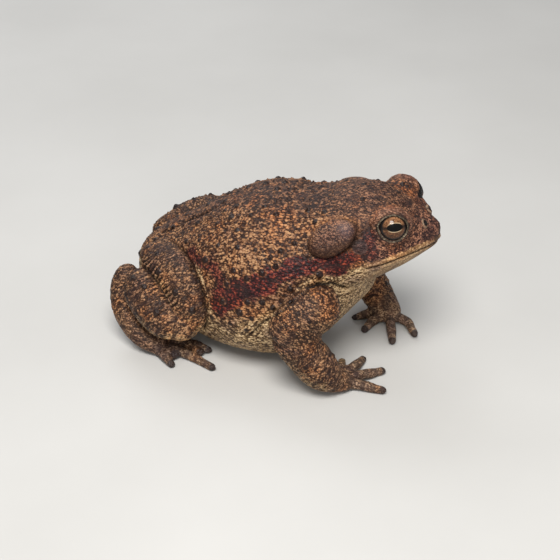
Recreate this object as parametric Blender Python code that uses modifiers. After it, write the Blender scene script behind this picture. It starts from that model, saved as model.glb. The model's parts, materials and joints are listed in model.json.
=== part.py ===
"""A sitting smooth-sided toad, life size, as named solid pieces that meet face to face.

Blender 4.5, metres, +Z up. The toad looks along +X, its left side is +Y, and it rests on Z = 0
with the origin under the middle of its box. Trunk and head are modelled as one skin and parted with
a thin cut, and so is each arm. The folded legs are modelled piece by piece, and each piece gives way
to what it lies against. The tables are in millimetres of a toad of the usual length, 158 mm.
"""

import math
import random

import bmesh
import bpy
from mathutils import Euler, Matrix, Vector
from mathutils.bvhtree import BVHTree

# Driving dimensions, in metres
SNOUT_VENT = 0.158
MM = SNOUT_VENT / 158
GAP = 0.0003
HALF_GAP = GAP / 2
FAR = 2.5 * SNOUT_VENT

EYE_RADIUS = 7.5 * MM
FINGER_RADIUS = 2.3 * MM
TOE_RADIUS = 2.2 * MM
NOSTRIL_RADIUS = 0.9 * MM
NOSTRIL_RIM = Vector((1.7, 1.7, 0.8)) * NOSTRIL_RADIUS
NOSTRIL_HOLE = Vector((1.0, 1.0, 2.2)) * NOSTRIL_RADIUS
EARDRUM_RADIUS = 3.5 * MM
EARDRUM = Vector((1.0, 1.05, 0.2)) * EARDRUM_RADIUS

SIDES = (("right", -1), ("left", 1))

# How finely the forms are drawn
RING_SIDES = 32
LIMB_SIDES = 18
DIGIT_SIDES = 12
BLUNT_END = 0.04
COARSE_SKIN = 1.1 * MM
FINE_SKIN = 0.8 * MM
BODY_TRIANGLES = 2500
ARM_TRIANGLES = 1000
THIGH_TRIANGLES = 260
SHANK_TRIANGLES = 260
FOOT_TRIANGLES = 850
GLAND_TRIANGLES = 200

# Rings across the trunk: place along X, sideways sway, half width, top, bottom, widest level
TRUNK = [
    (-75.5, 5.0, 2.0, 34.0, 23.0, 29.0),
    (-72.5, 5.0, 10.0, 40.0, 15.0, 28.0),
    (-63.0, 5.0, 18.0, 49.5, 7.5, 28.0),
    (-51.5, 4.5, 24.5, 59.5, 2.5, 29.5),
    (-40.0, 3.5, 31.0, 68.5, -0.3, 31.5),
    (-28.0, 2.0, 37.5, 75.5, -0.8, 33.5),
    (-11.0, 0.5, 42.0, 82.0, -0.8, 36.5),
    (7.0, 0.0, 41.5, 85.5, 0.5, 41.0),
    (23.0, 0.0, 36.0, 87.0, 10.0, 50.0),
    (35.0, 0.5, 29.0, 86.0, 24.0, 58.0),
    (45.0, 1.0, 20.0, 80.0, 37.0, 60.0),
]
TRUNK_SQUARENESS = 2.15

# The head's own frame: X to the snout, with the mouth line near Z = 0
HEAD_BASE = Vector((30.5, -0.5, 61.5)) * MM
HEAD_PITCH = math.radians(9.0)
HEAD_YAW = math.radians(4.5)
# Rings across the head: place along its X, half width, top, bottom, widest level
HEAD = [
    (-12.0, 28.0, 25.0, -23.0, 0.0),
    (0.0, 29.5, 26.5, -21.0, 0.0),
    (8.0, 29.2, 27.0, -18.5, 0.0),
    (16.0, 27.8, 26.6, -15.0, 0.0),
    (23.0, 25.0, 24.6, -11.6, 0.0),
    (30.0, 20.6, 20.6, -8.9, 0.0),
    (35.4, 15.6, 15.8, -6.9, 0.4),
    (40.0, 9.8, 11.6, -5.2, 0.8),
    (43.3, 5.0, 8.6, -3.6, 1.2),
    (45.2, 1.5, 5.6, -1.0, 2.2),
]
HEAD_SQUARENESS = 2.3
HEAD_TAPER = 0.26
EYE_PLACE = Vector((27.8, 16.9, 14.1)) * MM
GAZE = Vector((0.30, 0.89, 0.33)).normalized()
LID_DOME_PLACE = Vector((27.3, 15.7, 14.4)) * MM
LID_DOME = Vector((9.3, 9.2, 8.7)) * MM
# The lids' opening widens from the eye's middle outward
LIDS_AT_MIDDLE = Vector((4.9, 4.35)) * MM
LIDS_WIDENING = 2.08
CANTHUS = [(34.2, 12.3, 14.2, 2.4, 2.4), (38.4, 8.6, 10.9, 2.2, 2.0), (41.2, 5.6, 8.2, 1.8, 1.7)]
NOSTRIL_FROM = Vector((34.0, 3.0, 4.9)) * MM
NOSTRIL_TOWARD = Vector((6.4, 3.6, 4.9)).normalized()
EARDRUM_LEVEL = Vector((14.2, 0.0, 9.3)) * MM
MOUTH_CORNER = Vector((16.0, 0.0, -0.5)) * MM
MOUTH_DROOP = math.radians(2.5)
MOUTH_SWEEP = math.radians(98)
UPPER_LIP = (1.7 * MM, 1.3 * MM, 1.7 * MM)
LOWER_LIP = (-1.1 * MM, 1.1 * MM, 1.05 * MM)
LIP_STEPS = 16
LIP_SINK = 0.45
LIP_AT_CORNER = 0.55

GLAND_PLACE = Vector((1.2, 24.7, 12.6)) * MM
GLAND_AXIS = Vector((22.0, -6.5, 6.7)).normalized()
GLAND_OUT = Vector((0.0, 0.80, 0.60))
GLAND = Vector((13.0, 7.6, 6.0)) * MM

# Stations down a limb: x, y, z, half its width, half its thickness
ARM_RIGHT = [
    (33.0, -27.0, 44.0, 11.0, 12.0),
    (28.5, -37.0, 43.5, 10.5, 11.0),
    (21.0, -43.5, 39.5, 9.5, 10.0),
    (17.5, -45.0, 32.5, 9.5, 10.0),
    (19.5, -43.0, 25.0, 10.0, 10.0),
    (24.0, -41.0, 18.0, 10.6, 9.6),
    (28.5, -39.5, 12.0, 10.4, 8.6),
    (33.5, -37.0, 7.2, 9.4, 6.6),
    (39.0, -33.5, 4.2, 7.8, 4.8),
    (44.0, -30.0, 3.0, 6.0, 3.6),
]
ARM_LEFT = [
    (33.0, 27.0, 44.0, 11.0, 12.0),
    (28.0, 37.0, 42.0, 10.0, 11.0),
    (22.0, 43.0, 36.0, 9.0, 9.5),
    (21.0, 44.0, 30.0, 9.0, 9.0),
    (25.0, 43.5, 23.5, 9.3, 9.2),
    (31.5, 41.5, 17.0, 9.2, 8.6),
    (37.0, 38.5, 11.8, 8.6, 7.6),
    (41.5, 35.5, 7.6, 8.0, 6.2),
    (46.0, 31.5, 4.4, 7.2, 4.6),
    (50.0, 28.0, 3.0, 6.0, 3.6),
]
ELBOW_STATION = 4
WRIST_STATION = 7
# Each digit runs over the floor from its root by its middle joint to its tip
FINGERS_RIGHT = [
    ((36.7, -27.5), (36.0, -20.0), (35.0, -13.0)),
    ((40.0, -27.0), (43.0, -16.5), (44.6, -8.0)),
    ((43.0, -28.5), (50.9, -21.8), (57.0, -15.0)),
    ((42.5, -33.5), (53.0, -32.5), (62.0, -32.0)),
]
FINGERS_LEFT = [
    ((43.0, 32.0), (36.0, 29.0), (28.5, 25.0)),
    ((44.5, 30.0), (40.0, 23.0), (37.5, 14.0)),
    ((48.0, 28.0), (51.5, 17.5), (54.5, 8.0)),
    ((49.0, 31.0), (57.5, 27.5), (64.0, 18.0)),
]
THIGH_RIGHT = [
    (-62.0, -7.0, 37.0, 11.0, 11.0),
    (-53.0, -16.0, 39.5, 12.2, 12.5),
    (-44.0, -22.5, 39.5, 12.6, 13.2),
    (-37.0, -27.5, 34.5, 12.8, 13.4),
    (-35.5, -30.5, 25.5, 12.0, 12.0),
    (-38.0, -31.5, 18.5, 10.0, 10.0),
]
SHANK_RIGHT = [
    (-36.5, -33.0, 19.0, 9.0, 9.5),
    (-44.5, -34.0, 22.0, 11.2, 11.2),
    (-53.0, -32.0, 27.0, 11.4, 11.8),
    (-61.0, -27.0, 32.0, 10.4, 10.8),
    (-68.0, -21.0, 34.0, 8.5, 9.0),
]
FOOT_RIGHT = [
    (-68.5, -16.0, 34.0, 7.0, 7.0),
    (-72.0, -19.5, 32.0, 7.0, 7.0),
    (-73.5, -23.5, 25.5, 6.6, 6.8),
    (-71.0, -27.0, 17.0, 6.4, 6.4),
    (-64.0, -30.0, 9.5, 6.6, 6.0),
    (-56.5, -31.5, 5.8, 6.8, 5.2),
    (-48.5, -30.5, 3.8, 7.0, 4.2),
]
TOES_RIGHT = [
    ((-50.0, -27.0), (-39.0, -26.5), (-30.5, -29.5)),
    ((-48.0, -26.0), (-36.5, -24.0), (-27.5, -25.5)),
    ((-49.0, -31.0), (-34.5, -34.0), (-20.5, -39.5)),
    ((-53.0, -34.0), (-45.5, -39.5), (-40.5, -43.5)),
    ((-51.0, -33.0), (-45.5, -35.5), (-41.5, -36.0)),
]
THIGH_LEFT = [
    (-66.0, 15.0, 35.5, 11.0, 11.0),
    (-60.5, 24.5, 39.0, 12.5, 12.5),
    (-51.0, 32.0, 42.0, 12.8, 13.2),
    (-41.5, 37.0, 39.0, 12.8, 13.2),
    (-38.0, 39.5, 30.0, 12.0, 12.0),
    (-39.5, 41.0, 21.5, 10.0, 10.0),
]
SHANK_LEFT = [
    (-37.5, 43.0, 19.5, 9.0, 9.5),
    (-46.0, 44.5, 22.0, 11.2, 11.2),
    (-56.0, 43.0, 26.0, 11.4, 11.8),
    (-65.5, 37.5, 27.0, 10.6, 11.0),
    (-72.5, 30.5, 25.5, 9.0, 9.5),
]
FOOT_LEFT = [
    (-73.0, 26.0, 25.5, 7.0, 7.0),
    (-76.5, 29.5, 23.0, 7.0, 7.0),
    (-77.5, 34.0, 17.5, 6.6, 6.8),
    (-74.5, 38.0, 12.0, 6.4, 6.4),
    (-67.5, 41.5, 9.0, 6.6, 6.0),
    (-59.5, 43.5, 5.8, 6.8, 5.2),
    (-51.5, 43.0, 3.8, 7.0, 4.2),
]
TOES_LEFT = [
    ((-52.0, 38.5), (-42.5, 35.5), (-35.0, 35.0)),
    ((-51.5, 39.0), (-38.0, 38.5), (-28.0, 38.0)),
    ((-51.0, 43.0), (-36.0, 45.0), (-21.0, 48.0)),
    ((-54.0, 46.0), (-43.5, 51.0), (-34.5, 56.0)),
    ((-57.0, 47.0), (-50.0, 52.5), (-44.0, 57.0)),
]
ANKLE_STATION = 3

# The largest warts on the trunk's right side: place along X, degrees from straight up, radius
TRUNK_AXIS_LEVEL = 40.0
TRUNK_WARTS = [
    (-40, -5, 1.8), (-29, 4, 1.8), (-19, -8, 1.8), (-10, -8, 1.9), (-1, -9, 1.8), (-2, 2, 1.8),
    (-19, 18, 1.6), (-26, 19, 1.6), (-20, 28, 2.1), (-28, 31, 1.6), (-9, 28, 1.5), (3, 26, 1.6),
    (22, 28, 1.6), (17, 20, 1.6), (-4, 20, 1.5), (-14, 39, 1.5), (15, 43, 1.5), (-34, 47, 1.5),
    (-22, 51, 1.5), (-2, 51, 1.4), (10, 49, 1.7), (6, 54, 1.5), (9, 59, 1.6), (-11, 66, 1.5),
    (3, 64, 1.8), (-4, 69, 1.6), (-14, 76, 1.6), (4, 83, 1.9), (-3, 85, 1.6), (9, 86, 1.6),
    (-16, 89, 1.6), (-7, 93, 2.2), (-1, 96, 1.5), (-12, 104, 1.4), (-4, 106, 1.6),
]
# Warts of each kind of piece: how many, the smallest and the largest radius, the lowest height.
# Their height and sunk depth are shares of the radius, and their spacing is in radii.
WARTS = {
    "torso": (34, 1.5 * MM, 2.1 * MM, 24 * MM),
    "head": (5, 1.2 * MM, 1.6 * MM, 82 * MM),
    "thigh": (5, 1.4 * MM, 2.1 * MM, 20 * MM),
    "shank": (5, 1.4 * MM, 2.1 * MM, 14 * MM),
    "upper_arm": (3, 1.2 * MM, 1.7 * MM, 28 * MM),
    "forearm": (4, 1.2 * MM, 1.7 * MM, 12 * MM),
}
WART_HEIGHT = 0.42
WART_SINK = 0.35
WART_SPACING = 2.7
WART_TRIES = 60
WART_CLEARANCE = 2.0 * MM
WART_LEAST_UP = -0.15

# Finish of each kind of piece: linear colour, roughness
FINISHES = {
    "back_skin": ((0.105, 0.058, 0.035), 0.72),
    "leg_skin": ((0.095, 0.056, 0.038), 0.72),
    "throat_skin": ((0.33, 0.26, 0.17), 0.70),
    "gland_skin": ((0.115, 0.060, 0.034), 0.50),
    "eye_surface": ((0.12, 0.065, 0.025), 0.10),
}
FINISH_OF = {
    "lower_jaw": "throat_skin",
    "parotoid": "gland_skin",
    "eye": "eye_surface",
    "torso": "back_skin",
    "head": "back_skin",
}


def clear_scene():
    for obj in list(bpy.data.objects):
        bpy.data.objects.remove(obj, do_unlink=True)


def new_collection(name):
    made = bpy.data.collections.new(name)
    bpy.context.scene.collection.children.link(made)
    return made


def add_object(name, mesh, where):
    obj = bpy.data.objects.new(name, mesh)
    where.objects.link(obj)
    return obj


def remove(obj):
    bpy.data.objects.remove(obj, do_unlink=True)


def mesh_from(bm, name):
    """The finished mesh, with the working copy freed."""
    mesh = bpy.data.meshes.new(name)
    bm.to_mesh(mesh)
    bm.free()
    return mesh


# Shapes

def through(stations, count):
    """Rows of numbers read from a smooth curve (Catmull-Rom) through the given rows."""
    last = len(stations) - 1
    rows = []
    for i in range(count + 1):
        t = i / count * last
        k = min(int(t), last - 1)
        u = t - k
        around = [stations[min(max(k + j, 0), last)] for j in (-1, 0, 1, 2)]
        rows.append([
            b + 0.5 * u * (c - a + u * (2 * a - 5 * b + 4 * c - d + u * (3 * (b - c) + d - a)))
            for a, b, c, d in zip(*around)
        ])
    return rows


def superellipse(angle, power):
    c, s = math.cos(angle), math.sin(angle)
    return math.copysign(abs(c) ** (2 / power), c), math.copysign(abs(s) ** (2 / power), s)


def loft(name, rings):
    """A closed mesh through rings of equal count, with a fan at either end."""
    bm = bmesh.new()
    loops = [[bm.verts.new(point) for point in ring] for ring in rings]
    sides = len(loops[0])
    for one, two in zip(loops, loops[1:]):
        for i in range(sides):
            j = (i + 1) % sides
            bm.faces.new((one[i], one[j], two[j], two[i]))
    for loop in (loops[0], loops[-1]):
        middle = bm.verts.new(sum((v.co for v in loop), Vector()) / sides)
        for i in range(sides):
            bm.faces.new((loop[i], loop[(i + 1) % sides], middle))
    bmesh.ops.recalc_face_normals(bm, faces=bm.faces)
    return mesh_from(bm, name)


def barrel(name, stations, count, squareness, taper=0.0, place=Matrix()):
    """Rings across X, for the trunk and the head; a taper makes the upper half narrower."""
    rings = []
    for x, sway, half_width, top, bottom, widest in through(stations, count):
        ring = []
        for i in range(RING_SIDES):
            side, rise = superellipse(math.tau * i / RING_SIDES, squareness)
            reach = top - widest if rise > 0 else widest - bottom
            half = half_width * (1 - taper * max(rise, 0) ** 2)
            ring.append(place @ (Vector((x, sway + side * half, widest + rise * reach)) * MM))
        rings.append(ring)
    return loft(name, rings)


def limb(name, stations, count, sides, up=Vector((0, 0, 1))):
    """A rounded tube through stations of a point, its half width and its half thickness toward up."""
    rows = through(stations, count)
    points = [Vector(row[:3]) * MM for row in rows]
    rings = []
    for i, (x, y, z, half_width, half_thickness) in enumerate(rows):
        ahead = (points[min(i + 1, count)] - points[max(i - 1, 0)]).normalized()
        across = ahead.cross(up).normalized()
        over = across.cross(ahead)
        # Each end closes like half a ball
        from_end = min((points[i] - points[0]).length, (points[i] - points[-1]).length)
        share = min(from_end / (half_thickness * MM), 1.0)
        close = max(math.sqrt(1 - (1 - share) ** 2), BLUNT_END) * MM
        rings.append([
            points[i] + (across * math.cos(a) * half_width + over * math.sin(a) * half_thickness) * close
            for a in (math.tau * k / sides for k in range(sides))
        ])
    return loft(name, rings)


def ball(name, centre, radii, axes=Matrix.Identity(3), segments=20, rings=12):
    """An ellipsoid with its axes along the columns of the given matrix."""
    bm = bmesh.new()
    bmesh.ops.create_uvsphere(bm, u_segments=segments, v_segments=rings, radius=1.0)
    matrix = Matrix.Translation(centre) @ axes.to_4x4() @ Matrix.Diagonal((*radii, 1.0))
    bmesh.ops.transform(bm, matrix=matrix, verts=bm.verts)
    return mesh_from(bm, name)


def box(name, low, high, place=Matrix()):
    """A box from its low to its high corner, moved by place."""
    low, high = Vector(low), Vector(high)
    bm = bmesh.new()
    bmesh.ops.create_cube(bm, size=1.0)
    matrix = place @ Matrix.Translation((low + high) / 2) @ Matrix.Diagonal((*(high - low), 1.0))
    bmesh.ops.transform(bm, matrix=matrix, verts=bm.verts)
    return mesh_from(bm, name)


def cone(name, place, near, widening, depth, sides=32):
    """A cone frustum up the Z of place, from an elliptical near end to one that many times as wide."""
    bm = bmesh.new()
    bmesh.ops.create_cone(
        bm, cap_ends=True, segments=sides, radius1=1.0, radius2=widening, depth=depth)
    stretch = Matrix.Diagonal((near.x, near.y, 1.0, 1.0))
    matrix = place @ Matrix.Translation((0, 0, depth / 2)) @ stretch
    bmesh.ops.transform(bm, matrix=matrix, verts=bm.verts)
    return mesh_from(bm, name)


def facing(direction, top=Vector((0, 0, 1))):
    """Axes whose Z points along direction and whose Y leans toward top."""
    z = direction.normalized()
    x = top.cross(z).normalized()
    return Matrix((x, z.cross(x), z)).transposed()


# Work on whole objects

def bake(obj):
    """The object's mesh becomes the one that its modifiers make."""
    graph = bpy.context.evaluated_depsgraph_get()
    mesh = bpy.data.meshes.new_from_object(obj.evaluated_get(graph))
    obj.modifiers.clear()
    obj.data = mesh


def keep_largest(obj):
    """Only the largest closed surface stays, so a loose scrap or a sealed hollow goes."""
    bm = bmesh.new()
    bm.from_mesh(obj.data)
    bmesh.ops.triangulate(bm, faces=bm.faces)
    unseen = set(bm.verts)
    shells = []
    while unseen:
        stack = [unseen.pop()]
        shell = set(stack)
        while stack:
            for edge in stack.pop().link_edges:
                fresh = [vert for vert in edge.verts if vert in unseen]
                unseen.difference_update(fresh)
                shell.update(fresh)
                stack.extend(fresh)
        shells.append(shell)

    def volume(shell):
        faces = {face for vert in shell for face in vert.link_faces}
        return sum(face.calc_center_median().dot(face.normal) * face.calc_area() for face in faces)

    shells.sort(key=volume, reverse=True)
    for shell in shells[1:]:
        bmesh.ops.delete(bm, geom=list(shell), context="VERTS")
    bm.to_mesh(obj.data)
    bm.free()


def boolean(obj, operation, mesh):
    """Cuts, keeps or joins obj by one closed mesh, which is used up."""
    tool = add_object("tool", mesh, bpy.data.collections["cutters"])
    step = obj.modifiers.new(operation.lower(), "BOOLEAN")
    step.operation = operation
    step.object = tool
    step.solver = "EXACT"
    bake(obj)
    remove(tool)


def join(obj, meshes):
    """One union of obj with several closed meshes."""
    extra = new_collection("extra")
    for mesh in meshes:
        add_object(mesh.name, mesh, extra)
    step = obj.modifiers.new("join", "BOOLEAN")
    step.operation = "UNION"
    step.operand_type = "COLLECTION"
    step.collection = extra
    step.solver = "EXACT"
    bake(obj)
    for piece in list(extra.objects):
        remove(piece)
    bpy.data.collections.remove(extra)
    keep_largest(obj)


def fuse(name, meshes, voxel, triangles, parts):
    """One smooth skin round overlapping closed meshes, thinned to about that many triangles."""
    bm = bmesh.new()
    for mesh in meshes:
        bm.from_mesh(mesh)
        bpy.data.meshes.remove(mesh)
    obj = add_object(name, mesh_from(bm, name), parts)
    remesh = obj.modifiers.new("skin", "REMESH")
    remesh.mode = "VOXEL"
    remesh.voxel_size = voxel
    soften = obj.modifiers.new("soften", "SMOOTH")
    soften.factor = 0.5
    soften.iterations = 5
    bake(obj)
    faces = sum(len(polygon.vertices) - 2 for polygon in obj.data.polygons)
    thin = obj.modifiers.new("thin", "DECIMATE")
    thin.ratio = min(triangles / faces, 1.0)
    bake(obj)
    keep_largest(obj)
    return obj


def swollen(obj, by):
    """The object's mesh with its surface moved out by that much."""
    copy = add_object("swollen", obj.data.copy(), bpy.data.collections["cutters"])
    swell = copy.modifiers.new("swell", "DISPLACE")
    swell.mid_level = 0.0
    swell.strength = by
    bake(copy)
    mesh = copy.data
    remove(copy)
    return mesh


def give_way(obj, *neighbours):
    """obj is cut clear of each neighbour by the gap."""
    for neighbour in neighbours:
        boolean(obj, "DIFFERENCE", swollen(neighbour, GAP))
    keep_largest(obj)


def part_off(obj, name, inside, outside, parts):
    """What lies inside becomes a new object, and obj keeps what lies outside."""
    piece = add_object(name, obj.data.copy(), parts)
    boolean(piece, "INTERSECT", inside)
    boolean(obj, "DIFFERENCE", outside)
    keep_largest(piece)
    keep_largest(obj)
    return piece


def part_at_plane(obj, name, point, direction, parts):
    """The side that direction points to becomes its own object, a gap away."""
    place = Matrix.Translation(point) @ direction.to_track_quat("Z", "Y").to_matrix().to_4x4()
    halves = [box("side", (-FAR, -FAR, start), (FAR, FAR, FAR), place) for start in (HALF_GAP, -HALF_GAP)]
    return part_off(obj, name, *halves, parts)


def flatten_at_floor(obj):
    """What dips under Z = 0 is cut off, which leaves flats all at one level."""
    boolean(obj, "DIFFERENCE", box("floor", (-FAR, -FAR, -FAR), (FAR, FAR, 0)))
    keep_largest(obj)


def surface_of(obj):
    mesh = obj.data
    return BVHTree.FromPolygons([v.co for v in mesh.vertices], [p.vertices for p in mesh.polygons])


# The head

HEAD_PLACE = Matrix.Translation(HEAD_BASE) @ Euler((0, -HEAD_PITCH, HEAD_YAW)).to_matrix().to_4x4()
MOUTH_PLACE = HEAD_PLACE @ Matrix.Translation(MOUTH_CORNER) @ Matrix.Rotation(MOUTH_DROOP, 4, "Y")


def on_side(side, vector):
    """A vector given for the left, on the left (1) or the right (-1)."""
    return Vector((vector.x, side * vector.y, vector.z))


def head_and_trunk_skin(parts):
    head_stations = [(x, 0.0, *rest) for x, *rest in HEAD]
    meshes = [
        barrel("trunk", TRUNK, 40, TRUNK_SQUARENESS),
        barrel("skull", head_stations, 34, HEAD_SQUARENESS, HEAD_TAPER, HEAD_PLACE),
    ]
    for side in (-1, 1):
        dome = HEAD_PLACE @ on_side(side, LID_DOME_PLACE)
        meshes.append(ball("lid_dome", dome, LID_DOME, HEAD_PLACE.to_3x3()))
        ridge = limb("canthus", [(x, side * y, *rest) for x, y, *rest in CANTHUS], 12, DIGIT_SIDES)
        ridge.transform(HEAD_PLACE)
        meshes.append(ridge)
    return fuse("torso", meshes, COARSE_SKIN, BODY_TRIANGLES, parts)


def lip(name, surface, lift, depth, height):
    """A bead along the mouth line, lifted above it or below it, found on the head's surface."""
    up = (MOUTH_PLACE.to_3x3() @ Vector((0, 0, 1))).normalized()
    pivot = MOUTH_PLACE @ Vector((0, 0, lift))
    stations = []
    for i in range(LIP_STEPS + 1):
        angle = (2 * i / LIP_STEPS - 1) * MOUTH_SWEEP
        outward = MOUTH_PLACE.to_3x3() @ Vector((math.cos(angle), math.sin(angle), 0))
        edge = surface.ray_cast(pivot, outward)[0]
        slim = LIP_AT_CORNER + (1 - LIP_AT_CORNER) * math.cos(angle / 2)
        bead = edge - outward * depth * LIP_SINK
        stations.append((*(bead / MM), depth * slim / MM, height * slim / MM))
    return limb(name, stations, LIP_STEPS, 6, up)


def eardrum(surface, side, gland):
    """A low round plate behind and under the eye, clear of the gland."""
    outward = HEAD_PLACE.to_3x3() @ Vector((0, side, 0))
    edge, normal, _, _ = surface.ray_cast(HEAD_PLACE @ EARDRUM_LEVEL, outward)
    form = ball("eardrum", edge, EARDRUM, facing(normal), 14, 6)
    plate = add_object("eardrum", form, bpy.data.collections["cutters"])
    give_way(plate, gland)
    mesh = plate.data
    remove(plate)
    return mesh


def finish_face(head, glands):
    """Lips, nostrils and eardrums on the head."""
    surface = surface_of(head)
    beads = [lip("upper_lip", surface, *UPPER_LIP), lip("lower_lip", surface, *LOWER_LIP)]
    holes = []
    for side, gland in zip((-1, 1), glands):
        start = HEAD_PLACE @ on_side(side, NOSTRIL_FROM)
        toward = HEAD_PLACE.to_3x3() @ on_side(side, NOSTRIL_TOWARD)
        edge = surface.ray_cast(start, toward)[0]
        beads.append(ball("nostril_rim", edge, NOSTRIL_RIM, facing(toward), 10, 6))
        holes.append(ball("nostril", edge + toward * NOSTRIL_RADIUS, NOSTRIL_HOLE, facing(toward), 8, 6))
        beads.append(eardrum(surface, side, gland))
    join(head, beads)
    for hole in holes:
        boolean(head, "DIFFERENCE", hole)


def eyeball(name, side, radius):
    bm = bmesh.new()
    bmesh.ops.create_icosphere(bm, subdivisions=3, radius=radius)
    centre = HEAD_PLACE @ on_side(side, EYE_PLACE)
    bmesh.ops.transform(bm, matrix=Matrix.Translation(centre), verts=bm.verts)
    return mesh_from(bm, name)


def set_eye(head, name, side, parts):
    """An eyeball in its socket, with the lids open round the gaze."""
    boolean(head, "DIFFERENCE", eyeball("socket", side, EYE_RADIUS + GAP))
    gaze = HEAD_PLACE.to_3x3() @ on_side(side, GAZE)
    centre = HEAD_PLACE @ on_side(side, EYE_PLACE)
    opening = Matrix.Translation(centre) @ facing(gaze).to_4x4()
    boolean(head, "DIFFERENCE", cone("opening", opening, LIDS_AT_MIDDLE, LIDS_WIDENING, 2 * EYE_RADIUS))
    keep_largest(head)
    return add_object(name, eyeball(name, side, EYE_RADIUS), parts)


def split_trunk_and_head(parts):
    torso = head_and_trunk_skin(parts)
    forward = HEAD_PLACE.to_3x3() @ Vector((1, 0, 0))
    head = part_at_plane(torso, "head", HEAD_BASE, forward, parts)
    flatten_at_floor(torso)
    return torso, head


def build_gland(name, side, body, parts):
    """The large gland behind the eye, an oval cushion that lies on head and trunk."""
    long_axis = on_side(side, GLAND_AXIS)
    out = on_side(side, GLAND_OUT)
    out = (out - long_axis * out.dot(long_axis)).normalized()
    axes = Matrix((long_axis, out.cross(long_axis), out)).transposed()
    form = ball(name, on_side(side, GLAND_PLACE), GLAND, axes, 24, 14)
    form.transform(HEAD_PLACE)
    gland = fuse(name, [form], FINE_SKIN, GLAND_TRIANGLES, parts)
    give_way(gland, *body)
    return gland


def part_jaw(head, parts):
    """The lower jaw is what lies under the mouth line and ahead of its corners."""
    below = [
        box("below", (edge, -FAR, -FAR), (FAR, FAR, -edge), MOUTH_PLACE)
        for edge in (HALF_GAP, -HALF_GAP)
    ]
    part_off(head, "lower_jaw", *below, parts)


# The limbs

def digit(name, root, middle, tip, radius):
    """A finger or toe along the floor, thick at its root, with a rounded tip."""
    r = radius / MM
    near = [(a + b) / 2 for a, b in zip(root, middle)]
    far = [(a + b) / 2 for a, b in zip(middle, tip)]
    stations = [
        (*root, 1.15 * r, 1.25 * r, 1.25 * r),
        (*near, 1.30 * r, 1.00 * r, 1.05 * r),
        (*middle, 1.05 * r, 1.05 * r, 1.05 * r),
        (*far, 0.75 * r, 0.85 * r, 0.85 * r),
        (*tip, 0.60 * r, 0.92 * r, 0.85 * r),
    ]
    return limb(name, stations, 20, DIGIT_SIDES)


def build_arm(side_name, stations, fingers, body, parts):
    meshes = [limb("arm", stations, 36, LIMB_SIDES)]
    for root, middle, tip in fingers:
        meshes.append(digit("finger", root, middle, tip, FINGER_RADIUS))
    upper = fuse("upper_arm_" + side_name, meshes, FINE_SKIN, ARM_TRIANGLES, parts)
    give_way(upper, *body)
    flatten_at_floor(upper)
    pieces = [upper]
    for name, station in (("forearm_", ELBOW_STATION), ("hand_", WRIST_STATION)):
        before, here, after = (Vector(stations[station + i][:3]) * MM for i in (-1, 0, 1))
        pieces.append(part_at_plane(pieces[-1], name + side_name, here, after - before, parts))
    return pieces


def build_leg(side_name, thigh_stations, shank_stations, foot_stations, toes, body, parts):
    thigh = fuse(
        "thigh_" + side_name, [limb("thigh", thigh_stations, 28, LIMB_SIDES)],
        COARSE_SKIN, THIGH_TRIANGLES, parts)
    shank = fuse(
        "shank_" + side_name, [limb("shank", shank_stations, 28, LIMB_SIDES)],
        COARSE_SKIN, SHANK_TRIANGLES, parts)
    meshes = [limb("tarsus", foot_stations, 30, LIMB_SIDES)]
    for root, middle, tip in toes:
        meshes.append(digit("toe", root, middle, tip, TOE_RADIUS))
    tarsus = fuse("tarsus_" + side_name, meshes, FINE_SKIN, FOOT_TRIANGLES, parts)
    give_way(thigh, *body)
    give_way(shank, *body, thigh)
    give_way(tarsus, *body, thigh, shank)
    flatten_at_floor(tarsus)
    before, here, after = (Vector(foot_stations[ANKLE_STATION + i][:3]) * MM for i in (-1, 0, 1))
    foot = part_at_plane(tarsus, "foot_" + side_name, here, after - before, parts)
    return [thigh, shank, tarsus, foot]


# Warts

def surface_samples(obj, dice):
    """Endless points spread evenly over the object's surface, with the normal at each."""
    polygons = obj.data.polygons
    areas = [polygon.area for polygon in polygons]
    while True:
        polygon = dice.choices(polygons, areas)[0]
        a, b, c = (obj.data.vertices[i].co for i in polygon.vertices[:3])
        s, t = dice.random(), dice.random()
        if s + t > 1:
            s, t = 1 - s, 1 - t
        yield a + (b - a) * s + (c - a) * t, polygon.normal.copy()


def near_any(point, reach, trees):
    return any(tree.find_nearest(point, reach)[0] is not None for tree in trees)


def trunk_warts(torso):
    """Where the largest warts of the right side stand, cast outward from the trunk's axis."""
    surface = surface_of(torso)
    placed = []
    for x, turn, radius in TRUNK_WARTS:
        outward = Vector((0, -math.sin(math.radians(turn)), math.cos(math.radians(turn))))
        point = surface.ray_cast(Vector((x, 0, TRUNK_AXIS_LEVEL)) * MM, outward)[0]
        placed.append((point, radius * MM))
    return placed


def raise_warts(obj, kind, placed, neighbours, dice):
    """Low domes at the given places and on more of the outer skin, clear of the other pieces."""
    count, smallest, largest, lowest = WARTS[kind]
    count += len(placed)
    samples = surface_samples(obj, dice)
    for _ in range(WART_TRIES * count):
        point, normal = next(samples)
        radius = dice.uniform(smallest, largest)
        if point.z < lowest or normal.z < WART_LEAST_UP:
            continue
        if any((point - other).length < WART_SPACING * (radius + size) for other, size in placed):
            continue
        if near_any(point, radius + WART_CLEARANCE, neighbours):
            continue
        placed.append((point, radius))
        if len(placed) == count:
            break
    domes = []
    surface = surface_of(obj)
    for point, radius in placed:
        normal = surface.find_nearest(point)[1]
        centre = point - normal * radius * WART_SINK
        radii = Vector((radius, radius, radius * (WART_HEIGHT + WART_SINK)))
        domes.append(ball("wart", centre, radii, facing(normal, Vector((1, 0, 0.01))), 6, 4))
    join(obj, domes)


def kind_of(name):
    return name.removesuffix("_right").removesuffix("_left")


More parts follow.
